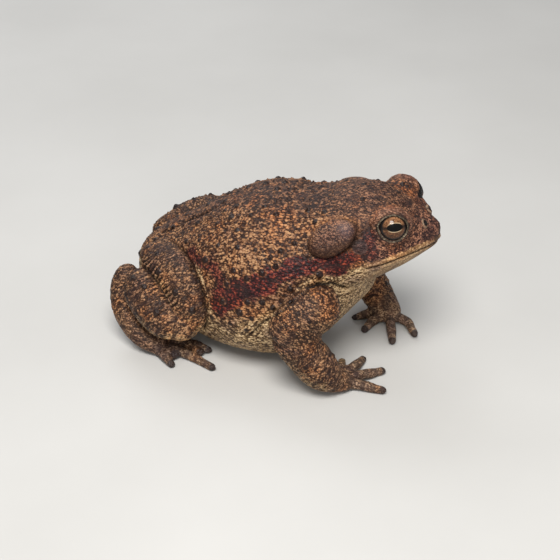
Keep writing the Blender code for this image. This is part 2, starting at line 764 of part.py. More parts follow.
def finish_material(name):
    """The Principled material of that name, made once."""
    found = bpy.data.materials.get(name)
    if found:
        return found
    colour, roughness = FINISHES[name]
    made = bpy.data.materials.new(name)
    made.use_nodes = True
    shader = made.node_tree.nodes["Principled BSDF"]
    shader.inputs["Base Color"].default_value = (*colour, 1.0)
    shader.inputs["Roughness"].default_value = roughness
    shader.inputs["Metallic"].default_value = 0.0
    return made


def stand_on_origin(parts):
    """Moves the toad so that the origin is under the middle of its box, each origin in its piece."""
    corners = [v.co for obj in parts.objects for v in obj.data.vertices]
    low = Vector(min(c[i] for c in corners) for i in range(3))
    high = Vector(max(c[i] for c in corners) for i in range(3))
    under_middle = Vector(((low.x + high.x) / 2, (low.y + high.y) / 2, low.z))
    for obj in parts.objects:
        centre = sum((v.co for v in obj.data.vertices), Vector()) / len(obj.data.vertices)
        obj.data.transform(Matrix.Translation(-centre))
        obj.location = centre - under_middle


def main():
    clear_scene()
    parts = new_collection("smooth_sided_toad")
    new_collection("cutters")
    torso, head = split_trunk_and_head(parts)
    body = (torso, head)
    build_arm("right", ARM_RIGHT, FINGERS_RIGHT, body, parts)
    build_arm("left", ARM_LEFT, FINGERS_LEFT, body, parts)
    build_leg("right", THIGH_RIGHT, SHANK_RIGHT, FOOT_RIGHT, TOES_RIGHT, body, parts)
    build_leg("left", THIGH_LEFT, SHANK_LEFT, FOOT_LEFT, TOES_LEFT, body, parts)
    glands = [build_gland("parotoid_" + name, side, body, parts) for name, side in SIDES]
    finish_face(head, glands)
    for name, side in SIDES:
        set_eye(head, "eye_" + name, side, parts)
    part_jaw(head, parts)
    dice = random.Random(7)
    surfaces = {obj.name: surface_of(obj) for obj in parts.objects}
    for obj in list(parts.objects):
        if kind_of(obj.name) in WARTS:
            others = [tree for name, tree in surfaces.items() if name != obj.name]
            placed = trunk_warts(obj) if obj is torso else []
            raise_warts(obj, kind_of(obj.name), placed, others, dice)
    for obj in parts.objects:
        finish = FINISH_OF.get(kind_of(obj.name), "leg_skin")
        obj.data.materials.clear()
        obj.data.materials.append(finish_material(finish))
        obj.data.shade_smooth()
    stand_on_origin(parts)


main()
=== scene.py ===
# %% [markdown]
# # A sitting smooth-sided toad, life size
# The real animal is one soft bag of skin over a squat body: granular and warty on the back, smooth
# on the large gland behind the eye, wrinkled where a limb leaves the trunk, with a maroon band along
# each side. The plain solids of its parts come in as a fixed frame. This notebook grows one skin over
# them and works everything else out from where they are.

# %% Load the frame
import math
from itertools import product

import bmesh
import bpy
import numpy as np
from mathutils import Euler, Matrix, Vector
from mathutils.bvhtree import BVHTree
from mathutils.kdtree import KDTree
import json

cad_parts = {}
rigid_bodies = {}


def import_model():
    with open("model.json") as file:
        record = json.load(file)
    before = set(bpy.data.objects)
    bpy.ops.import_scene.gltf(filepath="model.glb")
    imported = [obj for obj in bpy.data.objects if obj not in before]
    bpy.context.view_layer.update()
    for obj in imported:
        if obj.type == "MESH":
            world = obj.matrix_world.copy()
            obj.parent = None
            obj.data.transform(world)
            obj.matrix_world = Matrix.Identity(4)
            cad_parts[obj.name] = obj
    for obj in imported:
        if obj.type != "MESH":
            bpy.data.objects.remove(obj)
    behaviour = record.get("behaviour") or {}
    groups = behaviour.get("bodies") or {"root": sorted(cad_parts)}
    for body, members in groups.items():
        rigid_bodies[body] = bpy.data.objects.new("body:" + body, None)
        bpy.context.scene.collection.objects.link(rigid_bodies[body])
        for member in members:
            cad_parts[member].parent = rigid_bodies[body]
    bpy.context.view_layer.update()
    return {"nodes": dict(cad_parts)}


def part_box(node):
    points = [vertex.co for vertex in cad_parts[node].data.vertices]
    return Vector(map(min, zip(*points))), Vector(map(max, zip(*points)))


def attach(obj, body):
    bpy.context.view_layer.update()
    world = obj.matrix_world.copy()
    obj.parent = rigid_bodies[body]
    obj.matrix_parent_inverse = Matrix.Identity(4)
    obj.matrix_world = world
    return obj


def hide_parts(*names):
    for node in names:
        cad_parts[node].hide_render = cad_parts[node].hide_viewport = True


for leftover in list(bpy.data.objects):
    bpy.data.objects.remove(leftover, do_unlink=True)
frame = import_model()
nodes = frame["nodes"]

# %% [markdown]
# ## Landmarks
# All landmarks are in millimetres of the toad's own frame, where X runs to the snout, and those of
# the head are in the head's frame, which sits on the neck and looks a little up and to the left. The
# pieces stand centred over the floor's origin, so one known point, the middle of the right eye, tells
# how far the toad's frame is from the scene's.

# %% The toad's frame and the head's frame
MM = 0.001
HEAD_BASE = Vector((30.5, -0.5, 61.5))
HEAD_PITCH = math.radians(9.0)
HEAD_YAW = math.radians(4.5)
HEAD_TURN = Euler((0, -HEAD_PITCH, HEAD_YAW)).to_matrix()
EYE = Vector((27.8, 16.9, 14.1))
GAZE = Vector((0.30, 0.89, 0.33)).normalized()
SIDES = (("right", -1), ("left", 1))


def on_side(side, vector):
    """A vector given for the left, on the left (1) or on the right (-1)."""
    return Vector((vector.x, side * vector.y, vector.z))


def from_head(vector):
    """A point of the head's frame, in the toad's frame."""
    return HEAD_BASE + HEAD_TURN @ vector


eye_low, eye_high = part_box("eye_right")
TOAD_TO_SCENE = (eye_low + eye_high) / 2 - from_head(on_side(-1, EYE)) * MM
print("the toad's frame is shifted by", [round(c / MM, 2) for c in TOAD_TO_SCENE], "mm")

# %% [markdown]
# ## Camera, floor and light
# The camera stands a little to the right of the toad and looks down on it by about thirty degrees,
# with a long lens, so that the body keeps its true proportions. A wide soft light hangs above and in
# front, where the eye mirrors it over the pupil and not in it. A weaker one behind lifts the far side,
# and one low in front, which gives no reflection, lifts the shaded throat and arms. The plain view
# transform keeps the browns as warm as they are painted.

# %% Camera
CAMERA_AZIMUTH = math.radians(18)
CAMERA_HEIGHT = math.radians(31)
CAMERA_DISTANCE = 0.72
CAMERA_LENS = 95.8
AIM = TOAD_TO_SCENE + Vector((0.0, -3.0, 34.0)) * MM


def look_at(obj, place, target):
    """Puts a camera or a light at a place and turns it to a target."""
    obj.location = place
    obj.rotation_euler = (target - place).to_track_quat("-Z", "Y").to_euler()
    bpy.context.scene.collection.objects.link(obj)
    return obj


backward = Vector((
    math.sin(CAMERA_AZIMUTH) * math.cos(CAMERA_HEIGHT),
    -math.cos(CAMERA_AZIMUTH) * math.cos(CAMERA_HEIGHT),
    math.sin(CAMERA_HEIGHT)))
camera = bpy.data.objects.new("camera", bpy.data.cameras.new("camera"))
camera.data.lens = CAMERA_LENS
camera.data.clip_start = 0.01
look_at(camera, AIM + backward * CAMERA_DISTANCE, AIM)
bpy.context.scene.camera = camera


# %% Floor and lights
def soft_light(name, place, size, power, colour):
    """A round light that looks at the toad, by its place as seen from there, its width and its power."""
    lamp = bpy.data.lights.new(name, "AREA")
    lamp.shape = "DISK"
    lamp.size = size
    lamp.energy = power
    lamp.color = colour
    return look_at(bpy.data.objects.new(name, lamp), AIM + Vector(place), AIM)


soft_light("sky", (0.12, -0.52, 0.82), 0.46, 12.0, (1.0, 0.98, 0.95))
soft_light("back", (-0.45, 0.50, 0.62), 0.60, 3.0, (0.97, 0.98, 1.0))
soft_light("front", (0.40, -0.70, 0.20), 0.60, 1.9, (1.0, 0.98, 0.96)).visible_glossy = False

world = bpy.data.worlds.new("pale studio")
world.use_nodes = True
world.node_tree.nodes["Background"].inputs["Color"].default_value = (0.86, 0.87, 0.88, 1.0)
world.node_tree.nodes["Background"].inputs["Strength"].default_value = 0.42
bpy.context.scene.world = world
bpy.context.scene.view_settings.view_transform = "Standard"

bpy.ops.mesh.primitive_plane_add(size=6.0, location=(0, 0, -0.0002))
floor = bpy.context.object
floor.name = "floor"

# %% [markdown]
# ## Randomness that belongs to a place
# Toad skin looks random but isn't noise in the camera's picture: each granule sits at its own place.
# So the randomness here is a function of position. One helper scrambles the numbers of a grid cell,
# one makes soft hills from it, and one scatters seeds, one to a cell, and tells how far the nearest
# seed is. The last makes granules: near a seed the skin is high, and half way between two it is low.

# %% Noise helpers
SCRAMBLE = (73856093, 19349663, 83492791, 2246822519, 3266489917)


def scatter(cells, seed):
    """Three random numbers from 0 to 1 that belong to each whole-numbered cell."""
    x, y, z = (cells[:, axis].astype(np.uint64) * np.uint64(SCRAMBLE[axis]) for axis in range(3))
    mixed = x ^ y ^ z ^ np.uint64(seed * SCRAMBLE[3])
    mixed = (mixed ^ (mixed >> np.uint64(15))) * np.uint64(SCRAMBLE[3])
    mixed = (mixed ^ (mixed >> np.uint64(13))) * np.uint64(SCRAMBLE[4])
    mixed ^= mixed >> np.uint64(16)
    return [((mixed >> np.uint64(bits)) & np.uint64(1023)) / 1023 for bits in (0, 10, 20)]


def hills(points, size, seed):
    """Smooth random hills from -1 to 1, about as wide as size."""
    place = points / size
    low = np.floor(place)
    share = place - low
    share = share * share * (3 - 2 * share)
    low = low.astype(np.int64)
    total = np.zeros(len(points))
    for corner in product((0, 1), repeat=3):
        weight = np.prod(np.where(corner, share, 1 - share), axis=1)
        total += weight * scatter(low + np.array(corner), seed)[0]
    return 2 * total - 1


def granules(points, size, seed):
    """Seeds about size apart: the way to the nearest one, the groove to the next, and its number."""
    place = points / size
    home = np.floor(place).astype(np.int64)
    nearest = np.full(len(points), 9.0)
    second = nearest.copy()
    number = np.zeros(len(points))
    for step in product((-1, 0, 1), repeat=3):
        cell = home + np.array(step)
        dice = scatter(cell, seed)
        away = np.sqrt(sum((cell[:, a] + dice[a] - place[:, a]) ** 2 for a in range(3)))
        closer = away < nearest
        second = np.where(closer, nearest, np.minimum(second, away))
        number = np.where(closer, (dice[0] * 7 + dice[1] * 5) % 1, number)
        nearest = np.where(closer, away, nearest)
    return nearest, second - nearest, number


def step_up(value, start, end):
    """A soft step from 0 at start to 1 at end."""
    share = np.clip((value - start) / (end - start), 0, 1)
    return share * share * (3 - 2 * share)


def swell(value, width):
    """A soft hump: 1 where the value is 0, and next to nothing at twice the width."""
    return np.exp(-((value / width) ** 2))


# %% [markdown]
# ## One skin
# The pieces meet with thin gaps, as a model in parts does, but a live toad has no seams. Copies of
# all the pieces of flesh are swollen until they touch, the rims of the lids are laid round the eyes as
# rings, and balls in the knees and the elbows, on the left side of the rump and on the right hip round
# off their bends. The right forearm bows forward a little more than its solid. A voxel remesh then grows
# one closed skin round everything, and smoothing melts the flat facets of the solids. Lids and digits
# are thin, so they are smoothed far less than the trunk.

# %% Copies of the flesh, with the rims of the lids
SWELL = 0.00022
VOXEL = 0.00042
LID_HALF_WIDTH = 6.8
LID_RISE = 5.45
LID_DROP = 6.6
LID_LEVEL = 0.2
LID_CORNER = 1.8
LID_SPHERE = 7.75
LID_THICKNESS = 0.52
LID_THICKER = 0.26
LID_THICKEST = math.radians(222)
KNEES = {"right": (-40.0, -33.5, 22.0), "left": (-42.5, 42.5, 22.0)}
# Balls in the knees, the right elbow, the left elbow, the left rump and the right hip: middle, radius
BENDS = (
    (KNEES["right"], 10.3), (KNEES["left"], 10.3),
    ((22.5, -42.5, 25.5), 9.9), ((24.0, -42.0, 33.5), 8.8), ((27.5, -41.0, 18.5), 9.6),
    ((25.0, 43.5, 23.5), 9.2), ((26.0, 42.5, 32.5), 8.0),
    ((-64.4, 21.5, 38.2), 11.0),
    ((-55.0, -12.5, 45.0), 7.0), ((-61.0, -12.0, 41.5), 7.0))
# How far the right forearm is moved forward, by its level
FOREARM_SHIFT = ((0, 0.0), (3, 0.5), (7, 2.2), (12, 3.6), (18, 4.0), (25, 3.0), (33, 0.5), (40, 0.0))
SKIRT_REACH = 1.14
SKIRT_SPHERE = 7.35
SKIRT_THICKNESS = 1.05
RING_STEPS = 72
TUBE_SIDES = 10


def eye_axes(side):
    """Forward, up and outward as the eye of that side sees them."""
    gaze = HEAD_TURN @ on_side(side, GAZE)
    forward = Vector((0, 0, -side)).cross(gaze).normalized() * -1
    if forward.x < 0:
        forward.negate()
    up = gaze.cross(forward).normalized()
    if up.z < 0:
        up.negate()
    return forward, up, gaze


def add_tube_ring(bm, centres, radii, outward):
    """A closed ring of tube through the centres, whose cross-section starts outward."""
    rings = []
    count = len(centres)
    for i, (centre, radius) in enumerate(zip(centres, radii)):
        along = (centres[(i + 1) % count] - centres[i - 1]).normalized()
        out = (outward[i] - along * outward[i].dot(along)).normalized()
        over = along.cross(out)
        rings.append([
            bm.verts.new(centre + (out * math.cos(a) + over * math.sin(a)) * radius)
            for a in (math.tau * k / TUBE_SIDES for k in range(TUBE_SIDES))])
    for one, two in zip(rings, rings[1:] + rings[:1]):
        for k in range(TUBE_SIDES):
            m = (k + 1) % TUBE_SIDES
            bm.faces.new((one[k], two[k], two[m], one[m]))


def lid_scale(across, rise):
    """How far out a spot lies as the eye sees it, with 1 on the middle of the lids' rim."""
    rise = rise - LID_LEVEL
    tall = np.where(rise > 0, LID_RISE, LID_DROP)
    total = np.abs(across / LID_HALF_WIDTH) ** LID_CORNER + np.abs(rise / tall) ** LID_CORNER
    return total ** (1 / LID_CORNER)


def add_lid_ring(bm, side, out, sphere, thickness, thicker):
    """A ring of flesh round the eyeball, out times as wide as the rim and thickest low at the back."""
    forward, up, gaze = eye_axes(side)
    centre = from_head(on_side(side, EYE))
    centres, radii, outward = [], [], []
    for i in range(RING_STEPS):
        angle = math.tau * i / RING_STEPS
        reach = 1 / float(lid_scale(math.cos(angle), LID_LEVEL + math.sin(angle)))
        across, rise = reach * math.cos(angle), LID_LEVEL + reach * math.sin(angle)
        depth = math.sqrt(sphere**2 - across**2 - rise**2)
        across, rise = across * out, rise * out
        spoke = forward * across + up * rise
        low_back = max(0.0, math.cos(angle - LID_THICKEST))
        centres.append(TOAD_TO_SCENE + (centre + spoke + gaze * depth) * MM)
        radii.append((thickness + thicker * low_back) * MM)
        outward.append(spoke)
    add_tube_ring(bm, centres, radii, outward)


def flesh_and_lids():
    """Everything that the skin grows round, in one mesh."""
    bm = bmesh.new()
    for name in sorted(nodes):
        if name.startswith("eye_"):
            continue
        start = len(bm.verts)
        bm.from_mesh(nodes[name].data)
        if name in ("forearm_right", "upper_arm_right"):
            bm.verts.ensure_lookup_table()
            for vert in bm.verts[start:]:
                level = (vert.co.z - TOAD_TO_SCENE.z) / MM
                vert.co.x += float(np.interp(level, *zip(*FOREARM_SHIFT))) * MM
    bmesh.ops.remove_doubles(bm, verts=bm.verts, dist=1e-6)
    bmesh.ops.recalc_face_normals(bm, faces=bm.faces)
    bm.normal_update()
    for vert in bm.verts:
        vert.co += vert.normal * SWELL
    for _, side in SIDES:
        add_lid_ring(bm, side, 1.0, LID_SPHERE, LID_THICKNESS, LID_THICKER)
        add_lid_ring(bm, side, SKIRT_REACH, SKIRT_SPHERE, SKIRT_THICKNESS, 0.0)
    for middle, radius in BENDS:
        place = Matrix.Translation(TOAD_TO_SCENE + Vector(middle) * MM)
        bmesh.ops.create_icosphere(bm, subdivisions=4, radius=radius * MM, matrix=place)
    mesh = bpy.data.meshes.new("toad_skin")
    bm.to_mesh(mesh)
    bm.free()
    return mesh


def bake_modifiers(obj):
    """The object's mesh becomes the one that its modifiers make."""
    graph = bpy.context.evaluated_depsgraph_get()
    mesh = bpy.data.meshes.new_from_object(obj.evaluated_get(graph))
    obj.modifiers.clear()
    obj.vertex_groups.clear()
    obj.data = mesh


skin = bpy.data.objects.new("toad_skin", flesh_and_lids())
bpy.context.scene.collection.objects.link(skin)
remesh = skin.modifiers.new("one skin", "REMESH")
remesh.mode = "VOXEL"
remesh.voxel_size = VOXEL
bake_modifiers(skin)
print("remeshed skin:", len(skin.data.vertices), "points")


# %% Arrays of the skin's points, in millimetres of the toad's frame
SHIFT_MM = np.array(TOAD_TO_SCENE) / MM


def read_points(mesh):
    """Where the mesh's points are, one row each."""
    flat = np.empty(len(mesh.vertices) * 3)
    mesh.vertices.foreach_get("co", flat)
    return flat.reshape(-1, 3) / MM - SHIFT_MM


def write_points(mesh, points):
    mesh.vertices.foreach_set("co", ((points + SHIFT_MM) * MM).ravel())
    mesh.update()


def read_normals(mesh):
    flat = np.empty(len(mesh.vertices) * 3)
    mesh.vertex_normals.foreach_get("vector", flat)
    return flat.reshape(-1, 3)


def lift(mesh, height):
    """Moves each point along its normal by its own height, in millimetres."""
    write_points(mesh, read_points(mesh) + read_normals(mesh) * height[:, None])


# %% [markdown]
# ## Which piece is under each point
# Wrinkles, folds and colours differ between trunk, limbs, gland and digits, so each point of the skin
# looks up the nearest solid. It also measures the way to every other form nearby: the line where two
# forms lie against each other is where the skin folds in.

# %% Nearest forms
FORMS = {"body": ("torso", "head", "lower_jaw")}
PAIRED_FORMS = (("arm", ("upper_arm", "forearm", "hand")), ("thigh", ("thigh",)), ("shank", ("shank",)),
                ("foot", ("tarsus", "foot")), ("gland", ("parotoid",)))
for form, kinds in PAIRED_FORMS:
    for side_name, _ in SIDES:
        FORMS[f"{form}_{side_name}"] = tuple(f"{kind}_{side_name}" for kind in kinds)
REACH = 7.0


def tree_of(names):
    """One search tree round several pieces, and the number of the piece that owns each face."""
    points, faces, owner = [], [], []
    for number, name in enumerate(names):
        mesh = nodes[name].data
        start = len(points)
        points += [v.co.copy() for v in mesh.vertices]
        faces += [[start + i for i in p.vertices] for p in mesh.polygons]
        owner += [number] * len(mesh.polygons)
    return BVHTree.FromPolygons(points, faces), np.array(owner), points


PIECES = [name for names in FORMS.values() for name in names]
whole_tree, whole_owner, _ = tree_of(PIECES)


def nearest_piece(mesh):
    """For each point the number of its piece, and how far outside that piece it is, in mm."""
    number = np.empty(len(mesh.vertices), int)
    outside = np.empty(len(mesh.vertices))
    for i, vert in enumerate(mesh.vertices):
        spot, normal, face, away = whole_tree.find_nearest(vert.co)
        number[i] = whole_owner[face]
        outside[i] = math.copysign(away, normal.dot(vert.co - spot)) / MM
    return number, outside


def form_distances(mesh, points):
    """The way from each point to each form, in mm, up to the reach."""
    places = [v.co.copy() for v in mesh.vertices]
    found = {}
    for form, names in FORMS.items():
        tree, _, corners = tree_of(names)
        corners = np.array(corners) / MM - SHIFT_MM
        inside = np.all((points > corners.min(0) - REACH) & (points < corners.max(0) + REACH), axis=1)
        away = np.full(len(points), REACH)
        for i in np.flatnonzero(inside):
            _, _, _, length = tree.find_nearest(places[i], REACH * MM)
            if length is not None:
                away[i] = length / MM
        found[form] = away
    return found


def belongs(number, *kinds):
    """1 where the piece's name starts with one of the kinds, else 0."""
    wanted = [any(name.startswith(kind) for kind in kinds) for name in PIECES]
    return np.array(wanted, float)[number]


def head_frame(points):
    """The points as the head sees them, both halves folded onto the left."""
    seen = (points - np.array(HEAD_BASE)) @ np.array(HEAD_TURN)
    seen[:, 1] = np.abs(seen[:, 1])
    return seen


def eye_view(points, side):
    """Forward, up and outward of an eye, in mm from its middle."""
    return (points - np.array(from_head(on_side(side, EYE)))) @ np.array(eye_axes(side)).T


def rim_distance(points):
    """The way outward from the lids' rim, seen along the gaze, for the nearer eye."""
    best = np.full(len(points), REACH)
    for _, side in SIDES:
        seen = eye_view(points, side)
        scaled = lid_scale(seen[:, 0], seen[:, 1])
        away = (scaled - 1) * np.hypot(seen[:, 0], seen[:, 1] - LID_LEVEL) / np.maximum(scaled, 0.01)
        away = np.where(seen[:, 2] > 0, away, REACH)
        best = np.where(np.abs(away) < np.abs(best), away, best)
    return best


# %% Smoothing
BODY_SMOOTHING = 70
DIGIT_SHARE = 0.10
LEG_SHARE = 0.60
ARM_SHARE = 0.90
RIM_SHARE = 0.03
RIM_BAND = (0.6, 2.7)


def smooth_skin(obj, rounds, share):
    """Relaxes the mesh, by each point's own share."""
    group = obj.vertex_groups.new(name="soften")
    levels = np.round(share * 20) / 20
    for level in np.unique(levels):
        group.add(np.flatnonzero(levels == level).tolist(), float(level), "REPLACE")
    step = obj.modifiers.new("soften", "SMOOTH")
    step.factor = 0.5
    step.iterations = rounds
    step.vertex_group = group.name
    bake_modifiers(obj)


points = read_points(skin.data)
number, _ = nearest_piece(skin.data)
digits = belongs(number, "hand", "foot")
legs = belongs(number, "thigh", "shank", "tarsus")
arms = belongs(number, "upper_arm", "forearm")
share = 1 - (1 - DIGIT_SHARE) * digits - (1 - LEG_SHARE) * legs - (1 - ARM_SHARE) * arms
share *= step_up(np.abs(rim_distance(points)), *RIM_BAND) * (1 - RIM_SHARE) + RIM_SHARE
smooth_skin(skin, BODY_SMOOTHING, share)
_, outside = nearest_piece(skin.data)
for name_number, name in enumerate(PIECES):
    print(f"{name:18s} skin lies {outside[number == name_number].mean():.2f} mm outside")


# %% [markdown]
# ## A finer mesh on the face
# The lids, the nostrils and the lips are less than a millimetre thick, so each face of the mesh on the
# front of the head is split in four before they are modelled. The rest stays as the remesh left it.

# %% Refine the face
FACE_BEGINS = 10.0
FACE_REACH = 34.0
FACE_SMOOTHING = 6


def refine_face(obj):
    """Splits the faces on the front of the head."""
    bm = bmesh.new()
    bm.from_mesh(obj.data)
    seen = head_frame(read_points(obj.data))
    chosen = (seen[:, 0] > FACE_BEGINS) & (seen[:, 1] < FACE_REACH) & (np.abs(seen[:, 2]) < FACE_REACH)
    chosen &= belongs(nearest_piece(obj.data)[0], "head", "lower_jaw") > 0
    edges = [edge for edge in bm.edges if all(chosen[vert.index] for vert in edge.verts)]
    bmesh.ops.subdivide_edges(bm, edges=edges, cuts=1, use_grid_fill=True)
    bm.to_mesh(obj.data)
    bm.free()


refine_face(skin)
smooth_skin(skin, FACE_SMOOTHING, step_up(head_frame(read_points(skin.data))[:, 0], 9, 12))
print("skin with a fine face:", len(skin.data.vertices), "points")

# %% [markdown]
# ## Lookups for every point
# From here on the skin is a list of points with facts about each: the piece under it, the way to the
# other forms, where it lies on the head, how far it is from the lids' rim, and how far round the trunk
# it is, in degrees from straight up.

# %% Facts about each point
points = read_points(skin.data)
number, _ = nearest_piece(skin.data)
away = form_distances(skin.data, points)
head = head_frame(points)
rim = rim_distance(points)
rise = np.zeros(len(points))
for _, side in SIDES:
    seen = eye_view(points, side)
    rise = np.where(np.sign(points[:, 1]) == side, seen[:, 1], rise)

ends = np.empty(len(skin.data.edges) * 2, np.int64)
skin.data.edges.foreach_get("vertices", ends)
edge_one, edge_two = ends.reshape(-1, 2).T
neighbours = np.bincount(ends, minlength=len(points))


def soften(values, rounds):
    """The values spread to their neighbours, so that a region fades into the next."""
    for _ in range(rounds):
        total = np.bincount(edge_one, values[edge_two], len(points))
        total += np.bincount(edge_two, values[edge_one], len(points))
        values = (values + total / neighbours) / 2
    return values


def seam(one, other, rounds=4):
    """1 on the line where two regions of the skin meet, and 0 a millimetre or so away from it."""
    return np.clip(4 * soften(one, rounds) * soften(other, rounds), 0, 1)


on_head = belongs(number, "head", "lower_jaw")
on_trunk = belongs(number, "torso")
on_gland = belongs(number, "parotoid")
on_thigh = belongs(number, "thigh")
on_shank = belongs(number, "shank")
on_arm = belongs(number, "upper_arm", "forearm")
on_foot = belongs(number, "hand", "foot")
on_leg = belongs(number, "upper_arm", "forearm", "hand", "thigh", "shank", "tarsus", "foot")
on_left = points[:, 1] > 0

TRUNK_AXIS_LEVEL = 40.0
TRUNK_SWAY = ((-75.5, 5.0), (-51.5, 4.5), (-28.0, 2.0), (-11.0, 0.5), (7.0, 0.0), (45.0, 1.0))
sway = np.interp(points[:, 0], *zip(*TRUNK_SWAY))
turn = np.degrees(np.arctan2(np.abs(points[:, 1] - sway), points[:, 2] - TRUNK_AXIS_LEVEL))


def between(one, other):
    """The way to the line where two forms meet, for points on either of them."""
    on_one = belongs(number, *FORMS[one]) > 0
    on_other = belongs(number, *FORMS[other]) > 0
    return np.where(on_one, away[other], np.where(on_other, away[one], REACH))


def from_spot(places, spot):
    """How far each point is from one spot."""
    return np.linalg.norm(places - np.array(spot), axis=1)


def path_distance(places, path):
    """The way to a line through some points, and how far along it the nearest spot is, in mm."""
    best = np.full(len(places), 1e3)
    along = np.zeros(len(places))
    start = 0.0
    for a, b in zip(path, path[1:]):
        a, b = np.array(a, float), np.array(b, float)
        span = np.linalg.norm(b - a)
        share = np.clip((places - a) @ (b - a) / span**2, 0, 1)
        length = np.linalg.norm(places - a - share[:, None] * (b - a), axis=1)
        along = np.where(length < best, start + share * span, along)
        best = np.minimum(best, length)
        start += span
    return best, along


def on_skin(path, sides):
    """The same line laid on the skin of each side, finely divided."""
    fine = [a + (b - a) * share for a, b in zip(*(np.array(path[i:len(path) - 1 + i]) for i in (0, 1)))
            for share in (0.0, 0.25, 0.5, 0.75)] + [np.array(path[-1])]
    return [[points[np.argmin(np.sum((points - spot * (1, side, 1)) ** 2, axis=1))] for spot in fine]
            for side in sides]


def lines_distance(lines):
    """The way to the nearest of several lines, and how far along it."""
    best, along = path_distance(points, lines[0])
    for line in lines[1:]:
        other, other_along = path_distance(points, line)
        along = np.where(other < best, other_along, along)
        best = np.minimum(best, other)
    return best, along


# %% [markdown]
# ## Folds and creases
# Skin that is too wide for the body under it lies in folds. The deepest are where a thigh presses on
# the flank and where the upper arm leaves the shoulder, each with fine pleats beside it. The thigh and
# the shank carry short cross wrinkles along their groove. The back and the left thigh are lowered and
# the right gland is puffed up a little, as in the photo. All of these are heights, added up for every
# point and applied in one go. Along the creases, grooves and seams shade is painted in as well.

# %% Creases where two forms meet
# Where two forms meet: the forms, how deep and how wide the skin sinks, with painted shade along the line
CREASES = (("body", "thigh", 1.0, 1.1), ("body", "arm", 0.25, 0.8), ("thigh", "shank", 0.9, 1.0),
           ("shank", "foot", 0.7, 0.9), ("body", "shank", 0.5, 1.0), ("body", "foot", 0.4, 1.0),
           ("body", "gland", 0.90, 0.8))
KNEE_FADE = (10.8, 14.0)

mirrored = points * (1, 0, 1) + np.abs(points) * (0, 1, 0)
from_knee = np.full(len(points), 99.0)
for place in KNEES.values():
    from_knee = np.minimum(from_knee, from_spot(points, place))
past_knee = step_up(from_knee, *KNEE_FADE)
# Painted shade in the creases and grooves, from 0 to 1
crease_shade = np.zeros(len(points))
height = np.zeros(len(points))


def press(part, line, depth, width, dark, dark_width):
    """Sinks the skin of a part along a line, and paints shade into it there."""
    np.subtract(height, depth * part * swell(line, width), out=height)
    np.maximum(crease_shade, dark * part * swell(line, dark_width), out=crease_shade)


def press_seam(line, depth, dark):
    """Sinks the skin where the line, a mask, is near 1, and paints shade there."""
    np.subtract(height, depth * line, out=height)
    np.maximum(crease_shade, dark * line**2, out=crease_shade)


for one, other, depth, width in CREASES:
    for side_name, _ in SIDES:
        first = one if one == "body" else f"{one}_{side_name}"
        line = between(first, f"{other}_{side_name}")
        share = past_knee if one == "thigh" else 1 - 0.8 * step_up(points[:, 2] - points[:, 0], 92, 102)
        if other == "arm":
            share = np.maximum(step_up(points[:, 2], 38, 46), step_up(points[:, 0], 28, 34))
        press(share, line, depth, width, min(1.0, depth + 0.2), 0.75 * width)


# %% Streaks beside a crease
def streaks(distance, along, pitch, length, seed):
    """Fine uneven pleats from -1 to 1 beside a line, by the way to the line and the way along it."""
    return hills(np.stack((distance / pitch, along / length, np.zeros(len(distance))), axis=1), 1.0, seed)


# %% Folds of the shoulders, the spine and round the glands
SHOULDER_FOLD = ((-2.8, 39.8, 24.6), (3.9, 41.3, 33.4), (7.0, 42.0, 35.5), (13.1, 48.0, 43.8),
                 (16.0, 47.7, 46.7), (18.2, 45.4, 49.1), (20.9, 42.5, 51.2), (23.3, 38.5, 52.8),
                 (25.4, 35.6, 53.6), (28.2, 33.1, 54.3), (33.9, 29.0, 53.0), (38.1, 25.2, 49.9))
SPINE_FOLD = ((-62.3, -1.5, 48.9), (-56.1, -3.2, 54.5), (-51.3, -2.0, 58.7), (-44.3, -3.9, 64.2),
              (-37.5, -5.7, 68.8), (-32.7, -4.8, 72.3), (-27.0, -2.8, 76.0))
# How much the trunk's top is lowered, by X, and the extra dip over the hind back
TOP_DIP = ((-45, 0.0), (-36, 0.3), (-29, 1.7), (-12, 1.5), (-4, 1.8), (4.5, 2.3), (8.5, 3.4), (15, 3.6),
           (22, 2.2), (27, 0.0))
HIND_DIP = 3.2
HIND_DIP_MIDDLE = -43
HIND_DIP_WIDTH = 17
LEFT_THIGH_DIP = 2.2
RIGHT_GLAND_PUFF = 1.2
LEFT_GLAND_PUFF = -0.2
ARM_ARCS = (((24.3, 39.7, 53.1), (27.1, 36.5, 54.2), (31.5, 33.8, 53.7), (35.0, 28.6, 50.5)),
            ((26.0, 42.3, 52.9), (28.7, 38.6, 54.1), (32.6, 36.1, 53.7), (35.8, 34.0, 51.5)),
            ((26.0, 51.1, 42.5), (27.7, 50.3, 41.8), (29.3, 49.5, 41.2), (31.9, 47.0, 39.3)))
# The groove between gland and eardrum, on the head
CREVICE = ((5.4, 29.0, 8.2), (9.3, 26.8, 9.3), (11.2, 26.1, 11.1), (12.8, 24.5, 12.7), (14.3, 23.1, 14.2),
           (17.1, 21.2, 15.7), (18.7, 20.6, 16.1))

pleat = np.zeros(len(points))
thigh_line = np.minimum(between("body", "thigh_right"), between("body", "thigh_left"))
beside_thigh = on_trunk * step_up(thigh_line, 0.3, 1.0) * (1 - step_up(thigh_line, 3.0, 6.5))
beside_thigh *= step_up(turn, 62, 76) * step_up(points[:, 0], -50, -44)
pleat += beside_thigh * streaks(thigh_line, points[:, 2], 0.85, 8.0, 21)

